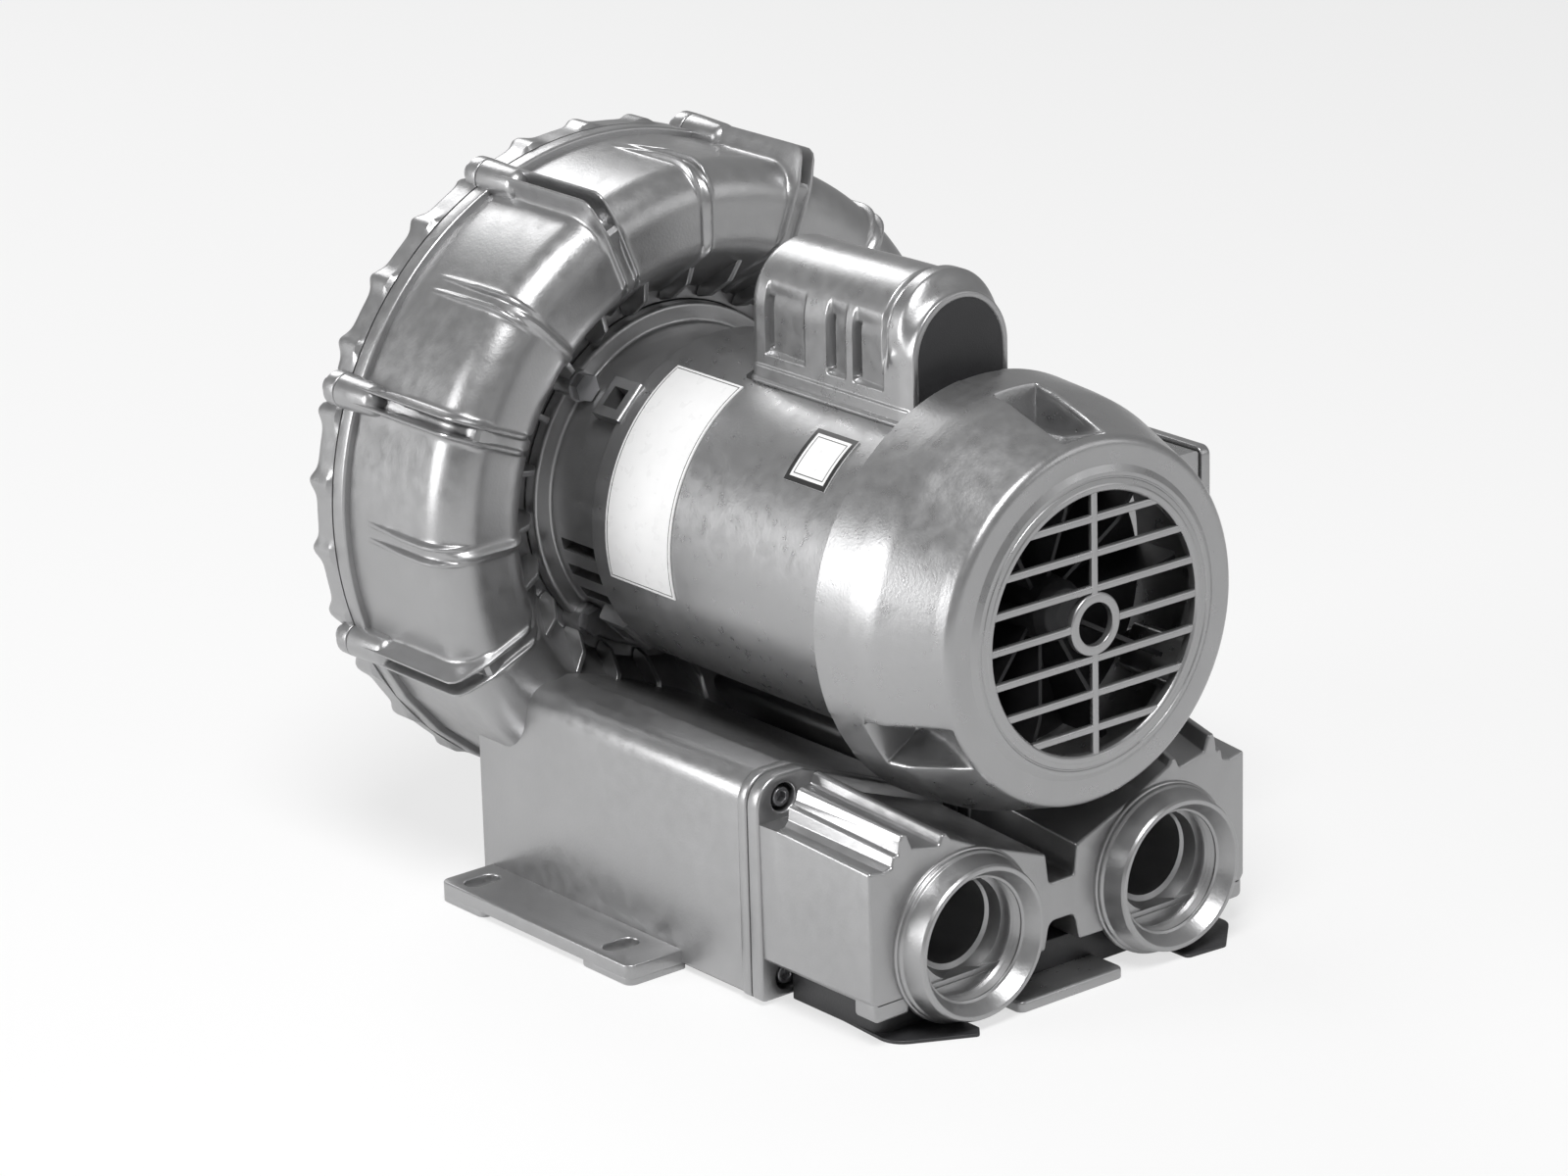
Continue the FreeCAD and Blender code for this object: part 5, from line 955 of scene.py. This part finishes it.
def makeRearCover(c):
    # the skin moves from the plain disc to the fins' crests; its rim swells by a wave with one crest to a fin
    joint, rear, crest, radius, hub = c["joint"], c["rear"], c["finRear"], c["radius"], c["hub"]
    plain = runs(
        ([(joint, 160), (joint, radius)], 4),
        (roundedLine([(joint, radius), (rear + c["rim"], radius, 5), (rear + c["rim"], 163, 3), (rear, 158)],
                     6, False), 18),
        ([(rear, 158), (rear, hub + 3)], 24), ([(rear, hub + 3), (crest, hub - 2)], 8),
    )
    finRadius = radius + c["hump"]
    fin = runs(
        ([(joint, 160), (joint, radius)], 4),
        (roundedLine([(joint, finRadius), (crest - 5, finRadius, 6), (crest, 158)], 6, False), 18),
        ([(crest, 158), (crest, hub + 3)], 24), ([(crest, hub + 3), (crest, hub - 2)], 8),
    )
    across = np.array([0, 0.8, 1.3, 1.6, 1.8, 2.1, 2.7, 3.8, 5.2, 7, 9, 11.5])
    narrow = np.array([1, 1, 0.96, 0.8, 0.4, 0.1, 0.02, 0, 0, 0, 0, 0])
    across, narrow = bothSides(across, -1), bothSides(narrow)
    atRim = smooth(plain[:, 1:], 160, 169)
    weights = narrow + (np.exp(-(across / 5.5) ** 2) - narrow) * atRim
    turns = np.arange(c["fins"]) * 360 / c["fins"]
    points = ribbedRing(plain, [(turn, across, weights, fin) for turn in turns], c["gapColumns"])
    x, y, z = points[..., 0], points[..., 1], points[..., 2] - axisHeight
    r, angle = np.hypot(x, z), np.arctan2(x, z)
    # the fins and the rim stop short of the screw bosses
    first, pitch = bossTurns[0], bossTurns[1] - bossTurns[0]
    bossTurn = np.radians(np.round((np.degrees(angle) - first) / pitch) * pitch + first)
    away = np.hypot(r * np.sin(angle) - radius * np.sin(bossTurn), r * np.cos(angle) - radius * np.cos(bossTurn))
    y = rear + (y - rear) * np.where(y > rear, smooth(away, c["screwRoom"] - 1, c["screwRoom"] + 1), 1)
    shell = Shell()
    shell.grid(turned(r, angle, y), wrapColumns=True)
    shell.grid(ringAt(np.array([(crest, hub - 2), (crest, 14), (crest - 2, 12), (crest - 2, 0)])), wrapColumns=True)
    boss = roundedLine([(joint, 0), (joint, c["bossRadius"], 0.8), (rear, c["bossRadius"], 1), (rear, 0)], 4, False)
    for turn in np.radians(bossTurns):
        x, z = radius * math.sin(turn), axisHeight + radius * math.cos(turn)
        shell.grid(ringAt(boss, x, z, 28), wrapColumns=True)
    return shell


makePiece("rearCoverSkin", makeRearCover(rearCover), "cast_paint", replaces=("rear_cover",))
print("stage: rear cover")

# Terminal box lid and the cap over the fan's hub

lid = {"x": (163.3, 170.3), "y": (-147.5, -52.5), "z": (158.5, 218.5), "edge": 2.4, "corner": 5,
       "fieldIn": (17, 6)}


def makeLid(c):
    (yLow, yHigh), (zLow, zHigh), corner = c["y"], c["z"], c["corner"]
    shell = Shell()
    line = boxLine(yLow, yHigh, zLow, zHigh, corner, 6)
    plate(shell, line, c["x"][0], c["x"][1], alongX, c["edge"], lowEdge=0.6)
    inY, inZ = c["fieldIn"]
    field = boxLine(yLow + inY, yHigh - inY, zLow + inZ, zHigh - inZ, 4, 6)
    plate(shell, field, c["x"][1] - 1, c["x"][1] + 0.8, alongX, 0.8, lowEdge=0)
    return shell


fanHub = [(-205, 15.2), (-221, 15.2, 1.5), (-227, 12.4, 3), (-229, 7.5, 2), (-229.4, 0)]


def makeFanCap(corners):
    shell = Shell()
    shell.grid(ringAt(roundedLine(corners, 6, False), count=64), wrapColumns=True)
    return shell


makePiece("terminalLidShell", makeLid(lid), "sheet_paint", replaces=("terminal_lid",))
makePiece("fanHubCap", makeFanCap(fanHub), "black_plastic", body="rotor")
print("stage: lid and fan cap")

# Studio

studio = {
    "floorHalf": 12.0, "floorColor": (0.86, 0.86, 0.86, 1), "floorGlow": 0.68, "floorInMetal": 0.5,
    "worldLow": 0.12, "worldInMetal": 0.2,
}


def makeStudio(s):
    size = s["floorHalf"]
    mesh = bpy.data.meshes.new("floor")
    mesh.from_pydata([(-size, -size, 0), (size, -size, 0), (size, size, 0), (-size, size, 0)], [], [(0, 1, 2, 3)])
    floor = bpy.data.objects.new("floor", mesh)
    bpy.context.scene.collection.objects.link(floor)
    material = bpy.data.materials.new("floorPaper")
    material.use_nodes = True
    tree = material.node_tree
    shader = tree.nodes["Principled BSDF"]
    shader.inputs["Base Color"].default_value = s["floorColor"]
    shader.inputs["Roughness"].default_value = 0.9
    # the camera sees the paper lit evenly, and metal shows a share of that
    w = NodeWriter(tree)
    glow = w.add("Emission", Strength=1.0)
    rays = w.add("LightPath").outputs
    seen = w.math("MAXIMUM", rays["Is Camera Ray"], w.math("MULTIPLY", rays["Is Glossy Ray"], s["floorInMetal"]))
    blend = w.add("MixShader")
    w.link(w.math("MULTIPLY", seen, s["floorGlow"]), blend.inputs[0])
    w.link(shader.outputs[0], blend.inputs[1])
    w.link(glow.outputs[0], blend.inputs[2])
    w.link(blend.outputs[0], tree.nodes["Material Output"].inputs["Surface"])
    mesh.materials.append(material)


lamps = [
    # name, location, size, power in watts
    ("key", (-0.9, -1.1, 2.7), 1.3, 72),
    ("left", (-2.5, 1.1, 0.8), 1.5, 36),
    ("fill", (1.8, -2.4, 1.4), 1.8, 9),
    ("rim", (0.6, 2.4, 2.0), 1.4, 22),
]


def makeLamps(rows, s):
    for name, location, size, power in rows:
        data = bpy.data.lights.new(name, "AREA")
        data.shape, data.size, data.energy = "DISK", size, power
        lamp = bpy.data.objects.new(name, data)
        bpy.context.scene.collection.objects.link(lamp)
        lamp.location = location
        lamp.rotation_euler = (Vector((0, 0, 0.18)) - lamp.location).to_track_quat("-Z", "Y").to_euler()
    world = bpy.data.worlds.new("studio")
    bpy.context.scene.world = world
    world.use_nodes = True
    background = world.node_tree.nodes["Background"]
    background.inputs["Color"].default_value = (1, 1, 1, 1)
    # a low world light; the camera sees white, and metal shows a share of it
    w = NodeWriter(world.node_tree)
    rays = w.add("LightPath").outputs
    metal = w.math("MAXIMUM", rays["Is Glossy Ray"], rays["Is Transmission Ray"])
    seen = w.math("MAXIMUM", rays["Is Camera Ray"], w.math("MULTIPLY", metal, s["worldInMetal"]))
    w.link(w.math("ADD", seen, s["worldLow"]), background.inputs["Strength"])


makeStudio(studio)
makeLamps(lamps, studio)
bpy.context.scene.view_settings.view_transform = "Standard"
